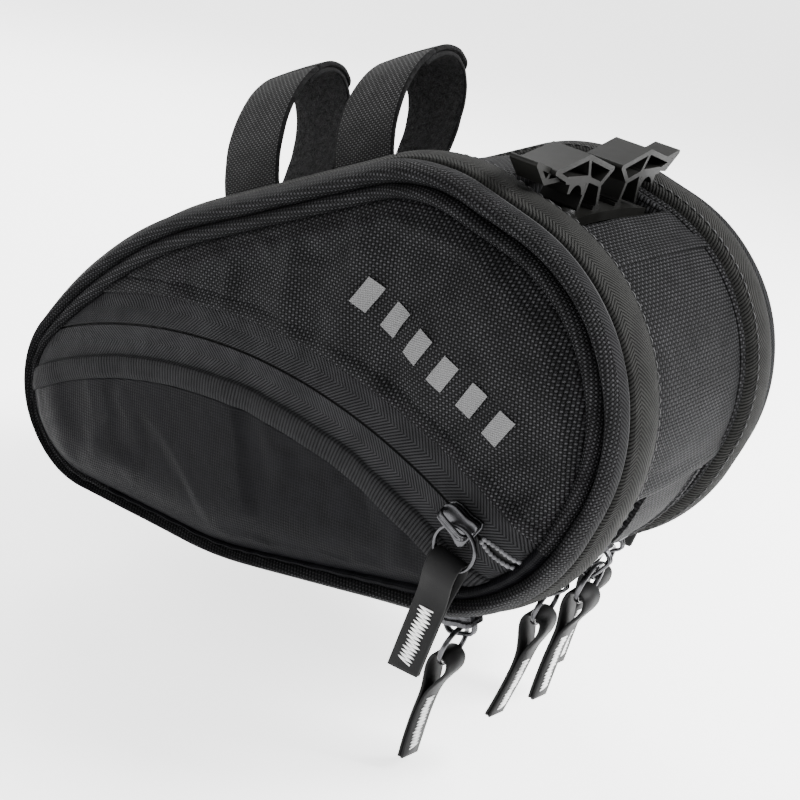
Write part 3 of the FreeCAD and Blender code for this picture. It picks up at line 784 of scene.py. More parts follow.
def height(x, z):
    """How far the cloth stands out from the side's backing, for arrays of points.

    The pocket's zip holds the cloth taut, and the cloth above it swells and waves more than the pocket.
    """
    x, z = np.asarray(x, float), np.asarray(z, float)
    drawn = plain_height(x, z)
    depth = depth_inside(x, z)
    from_zip = from_zip_centre(x, z) - POCKET_R
    above = smooth((from_zip - 6) / 8)
    taut = 1 - 0.85 * np.exp(-(from_zip / 6) ** 2)
    if PAD is not None:
        swelled = drawn.ravel().copy()
        for k, (px, pz) in enumerate(zip(x.ravel(), z.ravel())):
            hit = PAD.ray_cast(Vector((px * MM, -0.2, pz * MM)), Vector((0, 1, 0)))[0]
            if hit is not None:
                swelled[k] = FACE_Y - hit.y / MM
        swelled = swelled.reshape(drawn.shape)
        share = smooth((depth - 1.5) / 4) * (0.45 + 0.55 * above) * taut
        drawn = drawn * (1 - share) + np.clip(swelled, drawn - 1.5, drawn + 0.4 + 1.2 * above) * share
    waves = ripple(x, z, 5, 21.0) + 0.4 * ripple(x, z, 6, 7.0)
    return drawn + smooth(depth / 12) * taut * (0.2 + 0.35 * above) * waves


THREAD_COS, THREAD_SIN = 0.985, 0.17
EDGE_TUCK = 0.9          # how far the side's own surface runs under its rolls


def crossings(angles):
    """Radii about the pocket zip's centre where rays enter and leave the side's own surface, and the
    angles that the surface spans."""
    edge = rim.points - rim.normals * (PANEL_EDGE - EDGE_TUCK)[:, None]
    gap = edge - POCKET_CENTRE
    radius, turn = np.hypot(gap[:, 0], gap[:, 1]), np.arctan2(gap[:, 1], gap[:, 0])
    first, last = int(np.argmin(turn)), int(np.argmax(turn))
    n = len(turn)
    one = [(first + k) % n for k in range((last - first) % n + 1)]
    other = [(last + k) % n for k in range((first - last) % n + 1)][::-1]
    sides = [np.interp(angles, turn[chain], radius[chain]) for chain in (one, other)]
    return np.minimum(*sides), np.maximum(*sides), turn[first], turn[last]


def thread_map(x, z):
    """UV places for cloth cut with its threads a little off level."""
    return np.stack([x * THREAD_COS + z * THREAD_SIN, z * THREAD_COS - x * THREAD_SIN], axis=2)


def side_patch(name, r0, r1, rows, offset, material, polar_uv=True):
    """Part of the side between two radii about the pocket zip's centre; r0 or r1 None runs to the edge.

    rows are shares from 0 to 1 between the radii; offset(radius, angle) is how far it stands off the height.
    """
    fine = np.linspace(*crossings(np.zeros(1))[2:], 4000)
    inner, outer = crossings(fine)[:2]
    low = inner if r0 is None else np.maximum(inner, r0(fine) if callable(r0) else r0)
    high = outer if r1 is None else np.minimum(outer, r1(fine) if callable(r1) else r1)
    live = fine[high - low > 0.02]
    ease = np.linspace(0, 1, 300)
    angles = live[0] + (live[-1] - live[0]) * (ease * 0.7 + 0.3 * (1 - np.cos(math.pi * ease)) / 2)
    low, high = np.interp(angles, fine, low), np.interp(angles, fine, high)
    radius = low[:, None] + (high - low)[:, None] * np.asarray(rows)[None, :]
    angle = np.broadcast_to(angles[:, None], radius.shape)
    x = POCKET_CENTRE[0] + radius * np.cos(angle)
    z = POCKET_CENTRE[1] + radius * np.sin(angle)
    y = FACE_Y - height(x, z) - offset(radius, angle)
    uv = np.stack([-angle * POCKET_R, radius], axis=2) if polar_uv else thread_map(x, z)
    return grid(name, spread(x, y, z), uv, [material], towards=(0, -1, 0))


def stepped(radii, offsets):
    """An offset that runs straight between offsets at the radii given."""
    return lambda radius, angle: np.interp(radius, radii, offsets)


MOUTH_CLOSED, MOUTH_OPEN = 0.15, 1.5


def mouth(angle):
    """Half opening of the pocket's zip: closed up to the slider, then a slim leaf."""
    past = np.maximum(SLIDER_TURN - 0.02 - angle, 0) * POCKET_R
    return MOUTH_CLOSED + MOUTH_OPEN * smooth(past / 9) * (1 - 0.75 * smooth((past - 16) / 22))


def build_side():
    """All cloth of the near side panel, inside its rolls."""
    inner, outer = POCKET_R - TAPE_HALF, POCKET_R + TAPE_HALF
    bind, hem = inner - BINDING_W, outer - 0.6
    hem_rows = [0, 0.004, 0.012, 0.03, 0.055, 0.075, 0.09]
    on_panel = stepped(hem + np.array([0, 0.25, 0.8, 2.6, 4.2, 4.8, 5.6, 8]),
                       [-0.9, 0.5, 1.15, 1.2, 0.95, 0.4, 0.85, 0.7])
    on_high_tape = stepped([POCKET_R, POCKET_R + 1.2, outer + 1], [-0.1, -0.35, -0.7])
    on_low_tape = stepped([inner - 1, POCKET_R - 1.2, POCKET_R], [-0.5, -0.35, -0.1])
    on_binding = stepped([bind - 0.1, bind + 0.5, bind + 2, inner - 2, inner - 0.4, inner],
                         [-0.5, 0.75, 1.15, 1.1, 0.7, -0.4])
    rows = [np.linspace(0, 1, n) for n in (12, 12, 6, 16, 46)]
    return {
        "panel": side_patch("near_panel", hem, None, hem_rows + list(np.linspace(0.12, 1, 40)), on_panel,
                            WEAVE, polar_uv=False),
        "tape_high": side_patch("near_tape_high", lambda a: POCKET_R + mouth(a), outer + 0.8, rows[0],
                                on_high_tape, POCKET_TAPE),
        "tape_low": side_patch("near_tape_low", inner - 0.8, lambda a: POCKET_R - mouth(a), rows[1],
                               on_low_tape, POCKET_TAPE),
        # Painted shade, partly: this sheet's dark lining colour also stands for the shade inside the zip's
        # gap.
        "floor": side_patch("near_zip_floor", POCKET_R - 3.2, POCKET_R + 3.2, rows[2],
                            lambda r, a: -1.7, LINING),
        "binding": side_patch("near_binding", bind, inner, rows[3], on_binding, GROSGRAIN),
        "coated": side_patch("near_coated", None, bind + 0.5, rows[4], lambda r, a: 0, COATED,
                             polar_uv=False),
    }


def build_mouth_coil(sign):
    """Coil beads along one edge of the zip's open stretch, in a light grey that paints the coil's
    highlights.
    """
    angles = np.linspace(SLIDER_TURN - 0.04, SLIDER_TURN - 0.27, 260)
    radius = POCKET_R + sign * (mouth(angles) - 0.25)
    x = POCKET_CENTRE[0] + radius * np.cos(angles)
    z = POCKET_CENTRE[1] + radius * np.sin(angles)
    on_side = depth_inside(x, z) > 0.3
    x, z = x[on_side], z[on_side]
    y = FACE_Y - height(x, z) + 0.15
    beads = 0.35 + 0.35 * np.abs(np.sin(np.arange(len(x)) * math.pi / 8))
    return tube("near_mouth_coil", spread(x, y, z), beads, [PAINTED_HIGHLIGHT_TEETH], sides=6, normal=(0, 1, 0))


BAR_START, BAR_STEP = np.array([-26, -30]), np.array([9.6, -3.6])
BAR_WIDTH, BAR_LEAN = np.array([4.888, -1.82]), np.array([-4.0, -8.4])


def build_bars():
    """Six plain slanted bars printed on the panel, clear of the highest cloth around them."""
    parts = []
    for i in range(6):
        a, b = np.meshgrid(np.linspace(0, 1, 8), np.linspace(0, 1, 12), indexing="ij")
        x, z = (BAR_START[c] + BAR_STEP[c] * i + BAR_WIDTH[c] * a + BAR_LEAN[c] * b for c in (0, 1))
        around = [height(x + dx, z + dz) for dx, dz in ((0, 0), (1.2, 0), (-1.2, 0), (0, 1.2), (0, -1.2))]
        y = FACE_Y - np.max(around, axis=0) - 1.0
        parts.append(grid("bar", spread(x, y, z), thread_map(x, z), [PRINT], towards=(0, -1, 0)))
    return join("near_bars", parts)


def thickened(obj, thickness):
    """Gives an open cloth its thickness, inwards."""
    apply_modifier(obj, "SOLIDIFY", thickness=thickness * MM, offset=-1)
    return obj


# ---- gusset ----

GUSSET_PUFF, GUSSET_T = 1.5, 0.7


def gusset_inset(s, y):
    """How far inside the rim outline the gusset's cloth lies: it bulges in the middle, with soft waves."""
    puff = GUSSET_PUFF * (1 - np.abs(y / HEM_Y) ** 4)
    return GUSSET_INSET + 0.3 - puff - 0.28 * ripple(s, y, 7, 19.0) - 0.1 * ripple(s, y, 8, 6.0)


CLIP_X, CLIP_HALF, CLIP_FADE, CLIP_Z = 0.5, (13.2, 27.6), 3.2, -8.4
TOP_Z = -40              # only the cloth above this lies under the clip


def clip_dip(points):
    """Lets the cloth dip under the rail clip's base."""
    x, y, z = points[..., 0], points[..., 1], points[..., 2]
    share = smooth((CLIP_HALF[0] - np.abs(x - CLIP_X)) / CLIP_FADE) * (z > TOP_Z)
    share = share * smooth((CLIP_HALF[1] - np.abs(y)) / CLIP_FADE)
    dipped = points.copy()
    dipped[..., 2] = z * (1 - share) + np.minimum(z, CLIP_Z) * share
    return dipped


FOLD, WIDE_FOLD = 2.4, 6.5


def along_rim(s0, s1, step):
    """Even positions along the outline from s0 on to s1, past its start if need be."""
    if s1 < s0:
        s1 += rim.length
    return np.linspace(s0, s1, int((s1 - s0) / step))


def gusset_piece(name, s0, s1, y0, y1, material, lift=0.0, laps=(0.0, 0.0), side_laps=(0.0, 0.0), fold=FOLD):
    """Cloth on the gusset from s0 to s1 along the rim; laps are how high its folded ends stand over their
    neighbours and fold how wide they are."""
    if s1 < s0:
        s1 += rim.length
    step, edges = 1.4, np.array([0, 0.25, 0.6, 1.1, 2.0, 3.2])
    ends = np.concatenate([edges, [fold + 0.9, fold + 1.7]]) if fold > FOLD else edges
    count = max(8, int((s1 - s0) / step))
    s = np.concatenate([s0 + ends, np.linspace(s0 + fold + 2.4, s1 - fold - 2.4, count), (s1 - ends)[::-1]])
    y_count = max(8, int((y1 - y0) / step))
    y = np.concatenate([y0 + edges, np.linspace(y0 + 4.0, y1 - 4.0, y_count), (y1 - edges)[::-1]])
    point, normal = rim.at(s)
    sy = np.broadcast_to(s[:, None], (len(s), len(y)))
    yy = np.broadcast_to(y[None, :], sy.shape)
    out = lift - gusset_inset(sy, yy)
    profile = ([0, 0.25, 0.7, fold, fold + 1.0, fold + 2.2], [-1.2, 0.3, 1, 0.85, -0.15, 0])
    gaps = (sy - s0, s1 - sy, yy - y0, y1 - yy)
    for gap, lap in zip(gaps, laps + side_laps):
        out = out + np.interp(gap, *profile) * lap
        if lap:
            out = out - np.interp(gap, [0, 0.3], [0.9, 0])
    xz = point[:, None, :] + normal[:, None, :] * out[:, :, None]
    points = clip_dip(spread(xz[..., 0], yy, xz[..., 1]))
    middle = normal[len(normal) // 2]
    piece = grid(name, points, cloth_map(s, y), [material], towards=(middle[0], 0, middle[1]))
    return thickened(piece, GUSSET_T)


def stitches_on_gusset(s0, s1, y, lift=0.15):
    """A row of stitches along the gusset at one distance from its middle."""
    s = along_rim(s0, s1, 1.2)
    point, normal = rim.at(s)
    xz = point + normal * (lift - gusset_inset(s, y))[:, None]
    path = clip_dip(spread(xz[:, 0], y, xz[:, 1]))
    return stitch_line("stitch", path, spread(normal[:, 0], 0, normal[:, 1]), 2.3, 0.9, 0.22)


COIL_DEPTH, COIL_PITCH = 5.3, 1.32


def coil_on_gusset(name, s0, s1, y):
    """Coil of an expander zip: close turns along its channel."""
    s = along_rim(s0, s1, COIL_PITCH / 4)
    point, normal = rim.at(s)
    xz = point - normal * COIL_DEPTH
    path = spread(xz[:, 0], y, xz[:, 1])
    turns = 1.15 + 0.28 * np.abs(np.sin(s * math.pi / COIL_PITCH))
    return tube(name, path, turns, [COIL], sides=8, normal=(0, 1, 0))


# ---- straps, pulls ----

def ribbon(name, path, across, section, materials, closed=False, pick=None):
    """Carries a closed section of (sideways, outwards) along path; sideways runs along across."""
    path, section = np.asarray(path, float), np.asarray(section, float)
    across = unit(np.asarray(across, float))
    out = unit(np.cross(directions(path, closed), across))
    if section.ndim == 2:
        section = np.broadcast_to(section, (len(path), *section.shape))
    points = path[:, None, :] + section[:, :, :1] * across + section[:, :, 1:] * out[:, None, :]
    uv = cloth_map(distances(path, closed), distances(section.mean(axis=0), closed=True))
    return grid(name, points, uv, materials, close_u=closed, close_v=True, caps=not closed, pick=pick)


def spline(controls, parts):
    """A smooth open line through controls."""
    return round_off(np.asarray(controls, float)[None], closed=False, parts=parts)[0]


# The straight top-front run of the rim, which the straps stand on.
SLOPE_TOP, SLOPE_LOW = np.array(RIM_CORNERS[5][:2]), np.array(RIM_CORNERS[0][:2])
SLOPE = unit(SLOPE_TOP - SLOPE_LOW)
# Lengths of the straps, and the angles round each loop where its legs and end tab begin and end.
STRAP_W, STRAP_T, STRAP_GAP, FOOT_GAP, FOOT_DEPTH = 19.5, 1.6, 0.3, 1.1, 3.6
NEAR_FOOT, NEAR_TOP, TAB_END, FAR_TOP, FAR_FOOT = 270, 112, 38, 128, -90


class Strap:
    """The CAD strap's loop: an ellipse across the bag whose legs draw in towards their feet."""

    def __init__(self, x_rear, centre_y, half_w, half_h, lift):
        self.x, self.y, self.a, self.b = x_rear, centre_y, half_w, half_h
        self.base = SLOPE_TOP[1] + (x_rear - SLOPE_TOP[0]) * SLOPE[1] / SLOPE[0] - GUSSET_INSET / SLOPE[0]
        self.z = self.base + half_h + lift

    def point(self, degrees, inset):
        """Place on the loop at an angle; beyond a half turn either way the leg runs down to its foot."""
        beyond = max(-degrees, degrees - 180, 0) / 90
        y = (self.a - inset) * (1 - 0.35 * beyond ** 2) * (1 if degrees < 90 else -1)
        if beyond > 0:
            return np.array([self.x, self.y + y, self.z - (self.z - self.base - FOOT_GAP) * beyond])
        a = math.radians(degrees)
        up = (self.b - inset) * math.sin(a)
        return np.array([self.x, self.y + (self.a - inset) * math.cos(a), self.z + up])

    def band(self, name, start, end, inset, is_tab):
        """Webbing between two angles; a leg runs down into the seam and the end tab has a rounded end."""
        degrees = np.linspace(start, end, max(14, int(abs(end - start) / 3)))
        path = [self.point(d, inset + STRAP_T / 2) for d in degrees]
        if not is_tab:
            path.insert(0, path[0] - [0, 0, FOOT_DEPTH])
        path = np.array(path)
        run = np.array([SLOPE[0], 0, SLOPE[1]]) * (-STRAP_W / SLOPE[0])
        width, half = np.linalg.norm(run), STRAP_T / 2
        side = np.linspace(0.6, width - 0.6, 14)
        far_edge = [(width - 0.1, half * 0.75), (width, 0), (width - 0.1, -half * 0.75)]
        near_edge = [(0.1, -half * 0.75), (0, 0), (0.1, half * 0.75)]
        loop = np.array([(w, half) for w in side] + far_edge + [(w, -half) for w in side[::-1]] + near_edge)
        sections = np.broadcast_to(loop, (len(path), *loop.shape)).copy()
        s = distances(path)
        fray = 0.22 * ripple(s, s * 0.2, start, 5.0)
        off = loop[:, 0] - width / 2
        edge = np.abs(off) > width / 2 - 0.5
        sections[:, edge, 0] += np.sign(off[edge])[None, :] * fray[:, None]
        sections[:, :, 1] += 0.35 * (1 - (off / (width / 2)) ** 2) - 0.2
        if is_tab:
            back = np.clip((s[-1] - s) / 4.5, 0, 1)
            narrow = 0.62 + 0.38 * np.sqrt(1 - (1 - back) ** 2)
            sections[:, :, 0] = width / 2 + (sections[:, :, 0] - width / 2) * narrow[:, None]
            sections[:, :, 1] *= (0.55 + 0.45 * np.clip((s[-1] - s) / 1.2, 0, 1))[:, None]
        if np.cross(path[1] - path[0], run)[1] * (path[0][1] - self.y) <= 0:
            sections[:, :, 1] *= -1

        def pick(i, j):
            return 0 if j < 13 else 1 if j < 17 else 2 if j < 30 else 1

        return ribbon(name, path, run, sections, [WEBBING, SELVEDGE, PILE], pick=pick)


def build_strap(label, strap):
    """The webbing of a strap's two legs and end tab, each in place of its CAD node."""
    inner = STRAP_T + STRAP_GAP
    near_foot, far_foot = strap.point(NEAR_FOOT, 0), strap.point(FAR_FOOT, inner)
    for part, base, start, end, inset, turn in (
            ("_near_leg", "body", NEAR_FOOT, NEAR_TOP + 0.6, 0, (near_foot, near_foot + [0, 0, 4])),
            ("_end_tab", label + "_near_leg", NEAR_TOP - 0.6, TAB_END, 0,
             (strap.point(NEAR_TOP + 1, 0), strap.point(NEAR_TOP - 10, 0))),
            ("_far_leg", "body", FAR_FOOT, FAR_TOP, inner, (far_foot, far_foot + [0, 0, 4]))):
        cloth = strap.band(label + part + "_cloth", start, end, inset, part == "_end_tab")
        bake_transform(cloth)
        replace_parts(cloth, label + part)


# Lengths of the pulls, as in the CAD part; HANG is down, for a bag that is held tilted.
RING_R = 6.2
WIRE_HALF = (0.72, 0.46)
CROWN_WIRE_Z = 3.8
TAB_L, TAB_HALF, TAB_HALF_T, TAB_SLANT = 36.0, 4.85, 0.44, 0.215
ZIGZAG_TOP, ZIGZAG_STEP, ZIGZAG_STROKES, ZIGZAG_HALF = -13.0, 0.62, 30, 2.1
HANG = unit(np.array([-0.122, 0, -0.993]))
JOINTS = {j["name"]: j for j in frame["joints"]}


class PullPlace:
    """Where a pull's slider, ring and tab stand, from its joints."""

    def __init__(self, name):
        centre, self.ring_at, self.tab_at = (np.array(JOINTS[name + end]["pos_m"]) / MM for end in
                                             ("_zip_travel", "_ring_swing", "_tab_swing"))
        radial = self.ring_at - centre
        radial[1] = 0
        radial = unit(radial)
        flat = "pocket" in name
        if flat:
            self.outward = np.array([0.0, -1.0, 0.0])
            self.travel = np.array([radial[2], 0, -radial[0]])
        else:
            self.outward = radial
            self.travel = np.array([-radial[2], 0, radial[0]])
        self.drop = unit((self.tab_at - self.ring_at) / RING_R - HANG)
        self.origin = self.ring_at - self.outward * CROWN_WIRE_Z
        level = np.array([0.0, 1.0, 0.0])
        self.ring_axis = unit(np.cross(self.drop, self.outward)) if flat else level
        self.tab_axis = unit(np.cross(HANG, self.outward)) if flat else level


def bevelled_plate(outline, z0, z1, place_at, bevel):
    """A metal plate with softened edges; place_at turns local points into the row frame."""
    work = bmesh.new()
    face = work.faces.new([work.verts.new((x, y, z0)) for x, y in outline])
    lifted = bmesh.ops.extrude_face_region(work, geom=[face])
    top = [v for v in lifted["geom"] if isinstance(v, bmesh.types.BMVert)]
    bmesh.ops.translate(work, verts=top, vec=(0, 0, z1 - z0))
    bmesh.ops.bevel(work, geom=list(work.edges), offset=bevel, segments=2, affect="EDGES", profile=0.6)
    for v in work.verts:
        v.co = Vector(place_at(np.array(v.co)) * MM)
    bmesh.ops.recalc_face_normals(work, faces=work.faces)
    mesh = bpy.data.meshes.new("plate")
    work.to_mesh(mesh)
    work.free()
    mesh.uv_layers.new(name="Fabric")
    mesh.materials.append(GUNMETAL)
    return linked("plate", mesh)


def build_slider(name, at):
    """Shield-shaped slider with a grooved crown bar."""
    side = np.cross(at.outward, at.travel)

    def local(p):
        return at.origin + at.travel * p[0] + side * p[1] + at.outward * p[2]

    half = [(5.5, 3.3), (4.9, 4.5), (3.4, 4.4), (1.2, 3.7), (-2.8, 3.5), (-4.4, 2.9), (-5.3, 1.7), (-5.6, 0)]
    shield = half + [(x, -y) for x, y in reversed(half[:-1])]
    core = [(x * 0.9, y * 0.7) for x, y in shield]
    parts = [bevelled_plate(shield, 0.9, 2.4, local, 0.4), bevelled_plate(core, -0.8, 1.2, local, 0.15),
             bevelled_plate(shield, -1.7, -0.6, local, 0.3)]
    arch = spline([(-5.0, 1.2), (-4.9, 2.6), (-4.5, 4.2), (-3.6, 5.2), (-2, 5.4), (0, 5.42), (2, 5.4),
                   (3.6, 5.2), (4.4, 4.2), (4.7, 2.6), (4.8, 1.2)], parts=4)
    path = np.array([local((x, 0, z)) for x, z in arch])
    section = [(-1.0, -0.42), (-1.05, 0.1), (-0.85, 0.45), (-0.45, 0.42), (-0.25, 0.2), (0.25, 0.2),
               (0.45, 0.42), (0.85, 0.45), (1.05, 0.1), (1.0, -0.42), (0.0, -0.5)]
    parts.append(ribbon("bar", path, side, section, [GUNMETAL]))
    return join(name + "_slider_metal", parts)


def build_ring(name, at):
    """Ring bent from flat wire: a narrow band along its own axis."""
    centre = at.ring_at + at.drop * RING_R
    turns = np.linspace(0, 2 * math.pi, 72, endpoint=False)[:, None]
    path = centre + (at.ring_axis * np.sin(turns) - at.drop * np.cos(turns)) * RING_R
    across = np.cross(at.drop, at.ring_axis)
    a = np.linspace(0, 2 * math.pi, 14, endpoint=False)
    wave = np.stack([np.cos(a), np.sin(a)], axis=1)
    section = np.sign(wave) * np.abs(wave) ** 0.6 * WIRE_HALF
    return ribbon(name + "_ring_metal", path, across, section, [GUNMETAL], closed=True)


def build_tab(name, at, sway):
    """Rubber-coated ribbon folded round the ring, with a white zigzag sewn down both faces."""
    face = np.cross(at.tab_axis, HANG)
    reach = TAB_L - 0.4      # of the tab's middle line, before its end is cut at a slant
    side = [(0.5, -reach), (0.5, -30), (0.5, -24), (0.5, -18), (0.56, -13), (0.95, -9), (1.95, -5.2),
            (2.85, -2.2), (3.1, 0.4), (2.35, 2.7)]
    loop = spline(side + [(0, 3.72)] + [(-x, z) for x, z in reversed(side)], parts=4)

    def local(x, y, z):
        lean = sway * math.sin(math.pi * min(max(-z / TAB_L, 0), 1) * 1.25)
        return at.tab_at + face * (x + lean) + at.tab_axis * y - HANG * z

    path = np.array([local(x, 0, z) for x, z in loop])
    lower = [(-TAB_HALF, -0.1), (-TAB_HALF + 0.25, -TAB_HALF_T), (0, -TAB_HALF_T),
             (TAB_HALF - 0.25, -TAB_HALF_T), (TAB_HALF, -0.1)]
    section = lower + [(-y, -z) for y, z in lower]
    tab = ribbon(name + "_tab_cloth", path, at.tab_axis, section, [RUBBER, WHITE_THREAD])
    co = coords(tab.data) / MM
    down, over = (co - at.tab_at) @ HANG, (co - at.tab_at) @ at.tab_axis
    share = smooth((down - (reach - 7)) / 7)
    co -= HANG * (share * TAB_SLANT * np.maximum(TAB_HALF - 0.4 - over, 0))[:, None]
    tab.data.vertices.foreach_set("co", (co * MM).ravel())
    threads = []
    for sign in (-1, 1):
        turns = np.arange(ZIGZAG_STROKES + 1)
        uneven = 1 + 0.22 * np.sin(turns * 2.9) * np.sin(turns * 0.7)
        fine = np.linspace(0, ZIGZAG_STROKES, 4 * ZIGZAG_STROKES + 1)
        sideways = np.interp(fine, turns, np.where(turns % 2, 1, -1) * ZIGZAG_HALF * uneven)
        lift = 0.96 + 0.14 * np.abs(np.sin(fine * math.pi))
        points = [local(sign * h, y, ZIGZAG_TOP - ZIGZAG_STEP * k) for h, y, k in zip(lift, sideways, fine)]
        threads.append(tube("thread", points, 0.27, [WHITE_THREAD], sides=6, normal=face))
    return join(name + "_tab_cloth", [tab] + threads)


# ---- assembly ----

def both_sides(obj, suffix, slot, near_body="side_panel"):
    """Puts obj on the near side and its mirror image on the far side; suffix names their CAD nodes."""
    far = mirrored(obj, obj.name.replace("near_", "far_"))
    place(obj, near_body, slot, ["near_" + suffix] if suffix else ())
    place(far, "body", slot, ["far_" + suffix] if suffix else ())
    return obj, far


soft = []
both_sides(build_band(), "zip_band", "zip_tape", "body")
soft += both_sides(build_outer_roll(), "side_roll", "ballistic_nylon")
soft += both_sides(build_inner_roll(), "", "ballistic_nylon")
both_sides(build_band_stitches(), "", "zip_tape", "body")
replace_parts(both_sides(build_hem(), "", "grosgrain", "body")[0], "hem_piping")

side = build_side()
tapes = join("near_pocket_tapes",
             [side["tape_high"], side["tape_low"], build_mouth_coil(-1), build_mouth_coil(1)])
soft += both_sides(thickened(side["panel"], 1.2), "side_panel", "ballistic_nylon")
soft += both_sides(thickened(side["coated"], 1.0), "pocket_panel", "coated_fabric")
both_sides(tapes, "pocket_zip", "zip_tape")
both_sides(side["floor"], "", "lining")
both_sides(side["binding"], "pocket_binding", "grosgrain")
both_sides(build_bars(), "reflective_bars", "reflective_print")

# Where each seam is along the rim, and then each gusset panel's start and end along the rim, its half
# width, and the laps at its two ends.
S = {key: rim.s_at(angle) for key, angle in SEAMS.items()}
PANELS = {
    "gusset_rear_patch": (S["rear_low"] - 1, S["rear_top"] + 2, HEM_Y, (0.9, 0.0)),
    "gusset_clip_panel": (S["rear_top"] - 2, S["top_front"] + 2, HEM_Y, (0.9, 0.0)),
    "gusset_top_front": (S["top_front"], S["nose_top"] + 2, HEM_Y, (0.7, 0.0)),
    "nose_panel": (S["nose_top"], S["nose_low"] + 2, HEM_Y, (0.7, 0.0)),
    "gusset_bottom": (S["nose_low"], S["strip"], HEM_Y, (0.7, 0.7)),
    "gusset_lower_strip": (S["strip"] - 2, S["rear_low"] + 2, STRIP_Y, (0.0, 0.0)),
}
for node, (s0, s1, half, laps) in PANELS.items():
    edge = 0.7 if node == "gusset_lower_strip" else 0.0
    fold = WIDE_FOLD if node in ("gusset_clip_panel", "gusset_rear_patch") else FOLD
    cloth = gusset_piece(node + "_cloth", s0, s1, -half, half, GUSSET_WEAVE, laps=laps,
                         side_laps=(edge, edge), fold=fold)
    place(cloth, "body", "gusset_nylon", [node] + (["clip_tray"] if node == "gusset_clip_panel" else []))
    soft.append(cloth)
for label, sign in (("near", -1), ("far", 1)):
    y0, y1 = sorted((sign * (STRIP_Y - 1.5), sign * (HEM_Y - 0.6)))
    tape = gusset_piece(label + "_channel", S["strip"] - 1, S["rear_low"] + 1, y0, y1, CHANNEL_TAPE,
                        lift=-1.3)
    coil = coil_on_gusset(label + "_coil", S["strip"] - 1, S["rear_low"] + 1, sign * EXPANDER_Y)
    place(join(label + "_expander_cloth", [tape, coil]), "body", "zip_tape", [label + "_expander_zip"])
    rows = [stitches_on_gusset(0, rim.length - 1, sign * STITCH_Y),
            stitches_on_gusset(S["strip"], S["rear_low"], sign * 18.0, lift=0.6)]
    place(join(label + "_gusset_stitches", rows), "body", "gusset_nylon")

upper = rim.normals[:, 1] > 0.5
along_top, top_x = rim.s[upper], rim.points[upper, 0]
for label, strap in (("front_strap", Strap(-95.3, -2.0, 18.5, 23.2, 0.8)),
                     ("rear_strap", Strap(-59.6, 5.0, 20.0, 20.8, 0.8))):
    build_strap(label, strap)
    at_x = [along_top[int(np.argmin(np.abs(top_x - x)))] for x in (strap.x + 2.5, strap.x - 22)]
    patch = gusset_piece(label + "_patch", at_x[0], at_x[1], strap.y - 15, strap.y + 15, GROSGRAIN, lift=0.5,
                         laps=(0.4, 0.4), side_laps=(0.4, 0.4))
    place(patch, "body", "hook_loop_webbing", ["strap_patches"])

SWAY = {"main_zip": 0.9, "near_expander_upper": 0.7, "near_expander_lower": -0.6, "far_expander": 0.8}
for name in ("main_zip", "near_expander_upper", "near_expander_lower", "far_expander", "near_pocket"):
    at = PullPlace(name)
    pieces = {"slider": (build_slider(name, at), "gunmetal"), "ring": (build_ring(name, at), "gunmetal"),
              "tab": (build_tab(name, at, SWAY.get(name, 0.3)), "pull_rubber")}
    for part, (obj, finish) in pieces.items():
        if name == "near_pocket":
            copy = mirrored(obj, obj.name.replace("near_", "far_"))
            place(copy, "far_pocket_" + part, finish, ["far_pocket_" + part])
        place(obj, name + "_" + part, finish, [name + "_" + part])

CAD_FINISH = {"foam_shell": FOAM, "near_side_backing": FOAM, "far_side_backing": FOAM, "lining": LINING,
              "clip_base": PLASTIC, "near_clip_jaw": PLASTIC, "far_clip_jaw": PLASTIC, "clip_screws": STEEL}
for node, finish in CAD_FINISH.items():
    obj = frame["nodes"][node]
    obj.data.materials.clear()
    obj.data.materials.append(finish)
for node, width in (("clip_base", 0.3), ("near_clip_jaw", 0.22), ("far_clip_jaw", 0.22)):
    softened = frame["nodes"][node].modifiers.new("edges", "BEVEL")
    softened.width = width * MM
    softened.segments = 2
    softened.limit_method = "ANGLE"
    softened.angle_limit = math.radians(40)


# ---- stage, light, camera ----

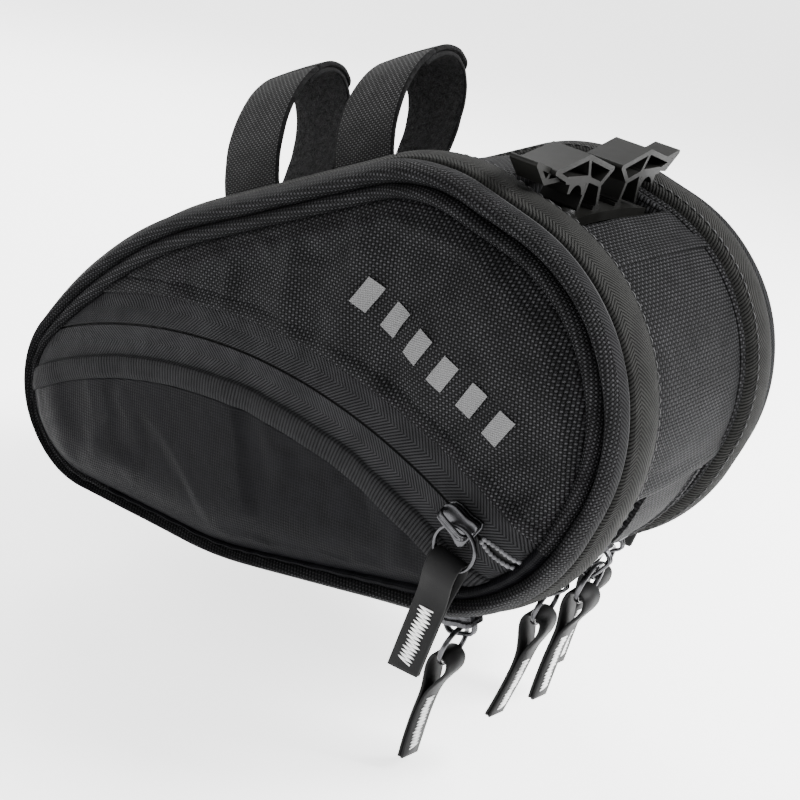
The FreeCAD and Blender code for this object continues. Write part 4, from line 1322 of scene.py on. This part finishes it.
TARGET = np.array([-41.8, -2.0, -84.8])
TURN, TILT, ROLL = math.radians(30), math.radians(21.3), math.radians(14.4)
DISTANCE = 444.0
FLOOR_GAP = 0.003        # metres from the lowest point of the bag to the floor
back = np.array([math.sin(TURN) * math.cos(TILT), -math.cos(TURN) * math.cos(TILT), math.sin(TILT)])
right = np.array([math.cos(TURN), math.sin(TURN), 0])
upward = np.array([-math.sin(TURN) * math.sin(TILT), math.cos(TURN) * math.sin(TILT), math.cos(TILT)])
across = right * math.cos(ROLL) + upward * math.sin(ROLL)
aloft = upward * math.cos(ROLL) - right * math.sin(ROLL)

# Soft lamps about the bag: how far each stands to the right, up and back towards the camera, in metres.
for name, along, energy, size in (("key", (0.75, 0.75, 0.15), 37, 0.5), ("rim", (-0.35, 0.8, -0.45), 9, 0.5),
                                  ("fill", (-0.45, 0.25, 0.9), 4, 0.7)):
    away = right * along[0] + upward * along[1] + back * along[2]
    data = bpy.data.lights.new(name, "AREA")
    data.energy, data.size = energy, size
    lamp = linked(name, data)
    lamp.location = Vector(TARGET * MM + away)
    lamp.rotation_mode = "QUATERNION"
    lamp.rotation_quaternion = Vector(-away).to_track_quat("-Z", "Y")

bpy.ops.mesh.primitive_plane_add(size=30, location=(0, 0, cad_box[0][2] - FLOOR_GAP))
floor = bpy.context.object
floor.name = "floor"
paper = Surface("paper", (0.93, 0.93, 0.93), 0.9, 0.5)
paper.shader.inputs["Emission Color"].default_value = (1, 1, 1, 1)
paper.shader.inputs["Emission Strength"].default_value = 2.2
floor.data.materials.append(paper.material)

world = bpy.data.worlds.new("studio")
bpy.context.scene.world = world
world.use_nodes = True
world.node_tree.nodes["Background"].inputs["Color"].default_value = (1, 1, 1, 1)
world.node_tree.nodes["Background"].inputs["Strength"].default_value = 0.9

camera = bpy.data.cameras.new("camera")
camera.lens, camera.sensor_width = 63, 36
camera.clip_start, camera.clip_end = 0.01, 50
view = linked("camera", camera)
view.rotation_mode = "QUATERNION"
view.location = Vector((TARGET + back * DISTANCE) * MM)
view.rotation_quaternion = Matrix([[across[i], aloft[i], back[i]] for i in range(3)]).to_quaternion()
bpy.context.scene.camera = view
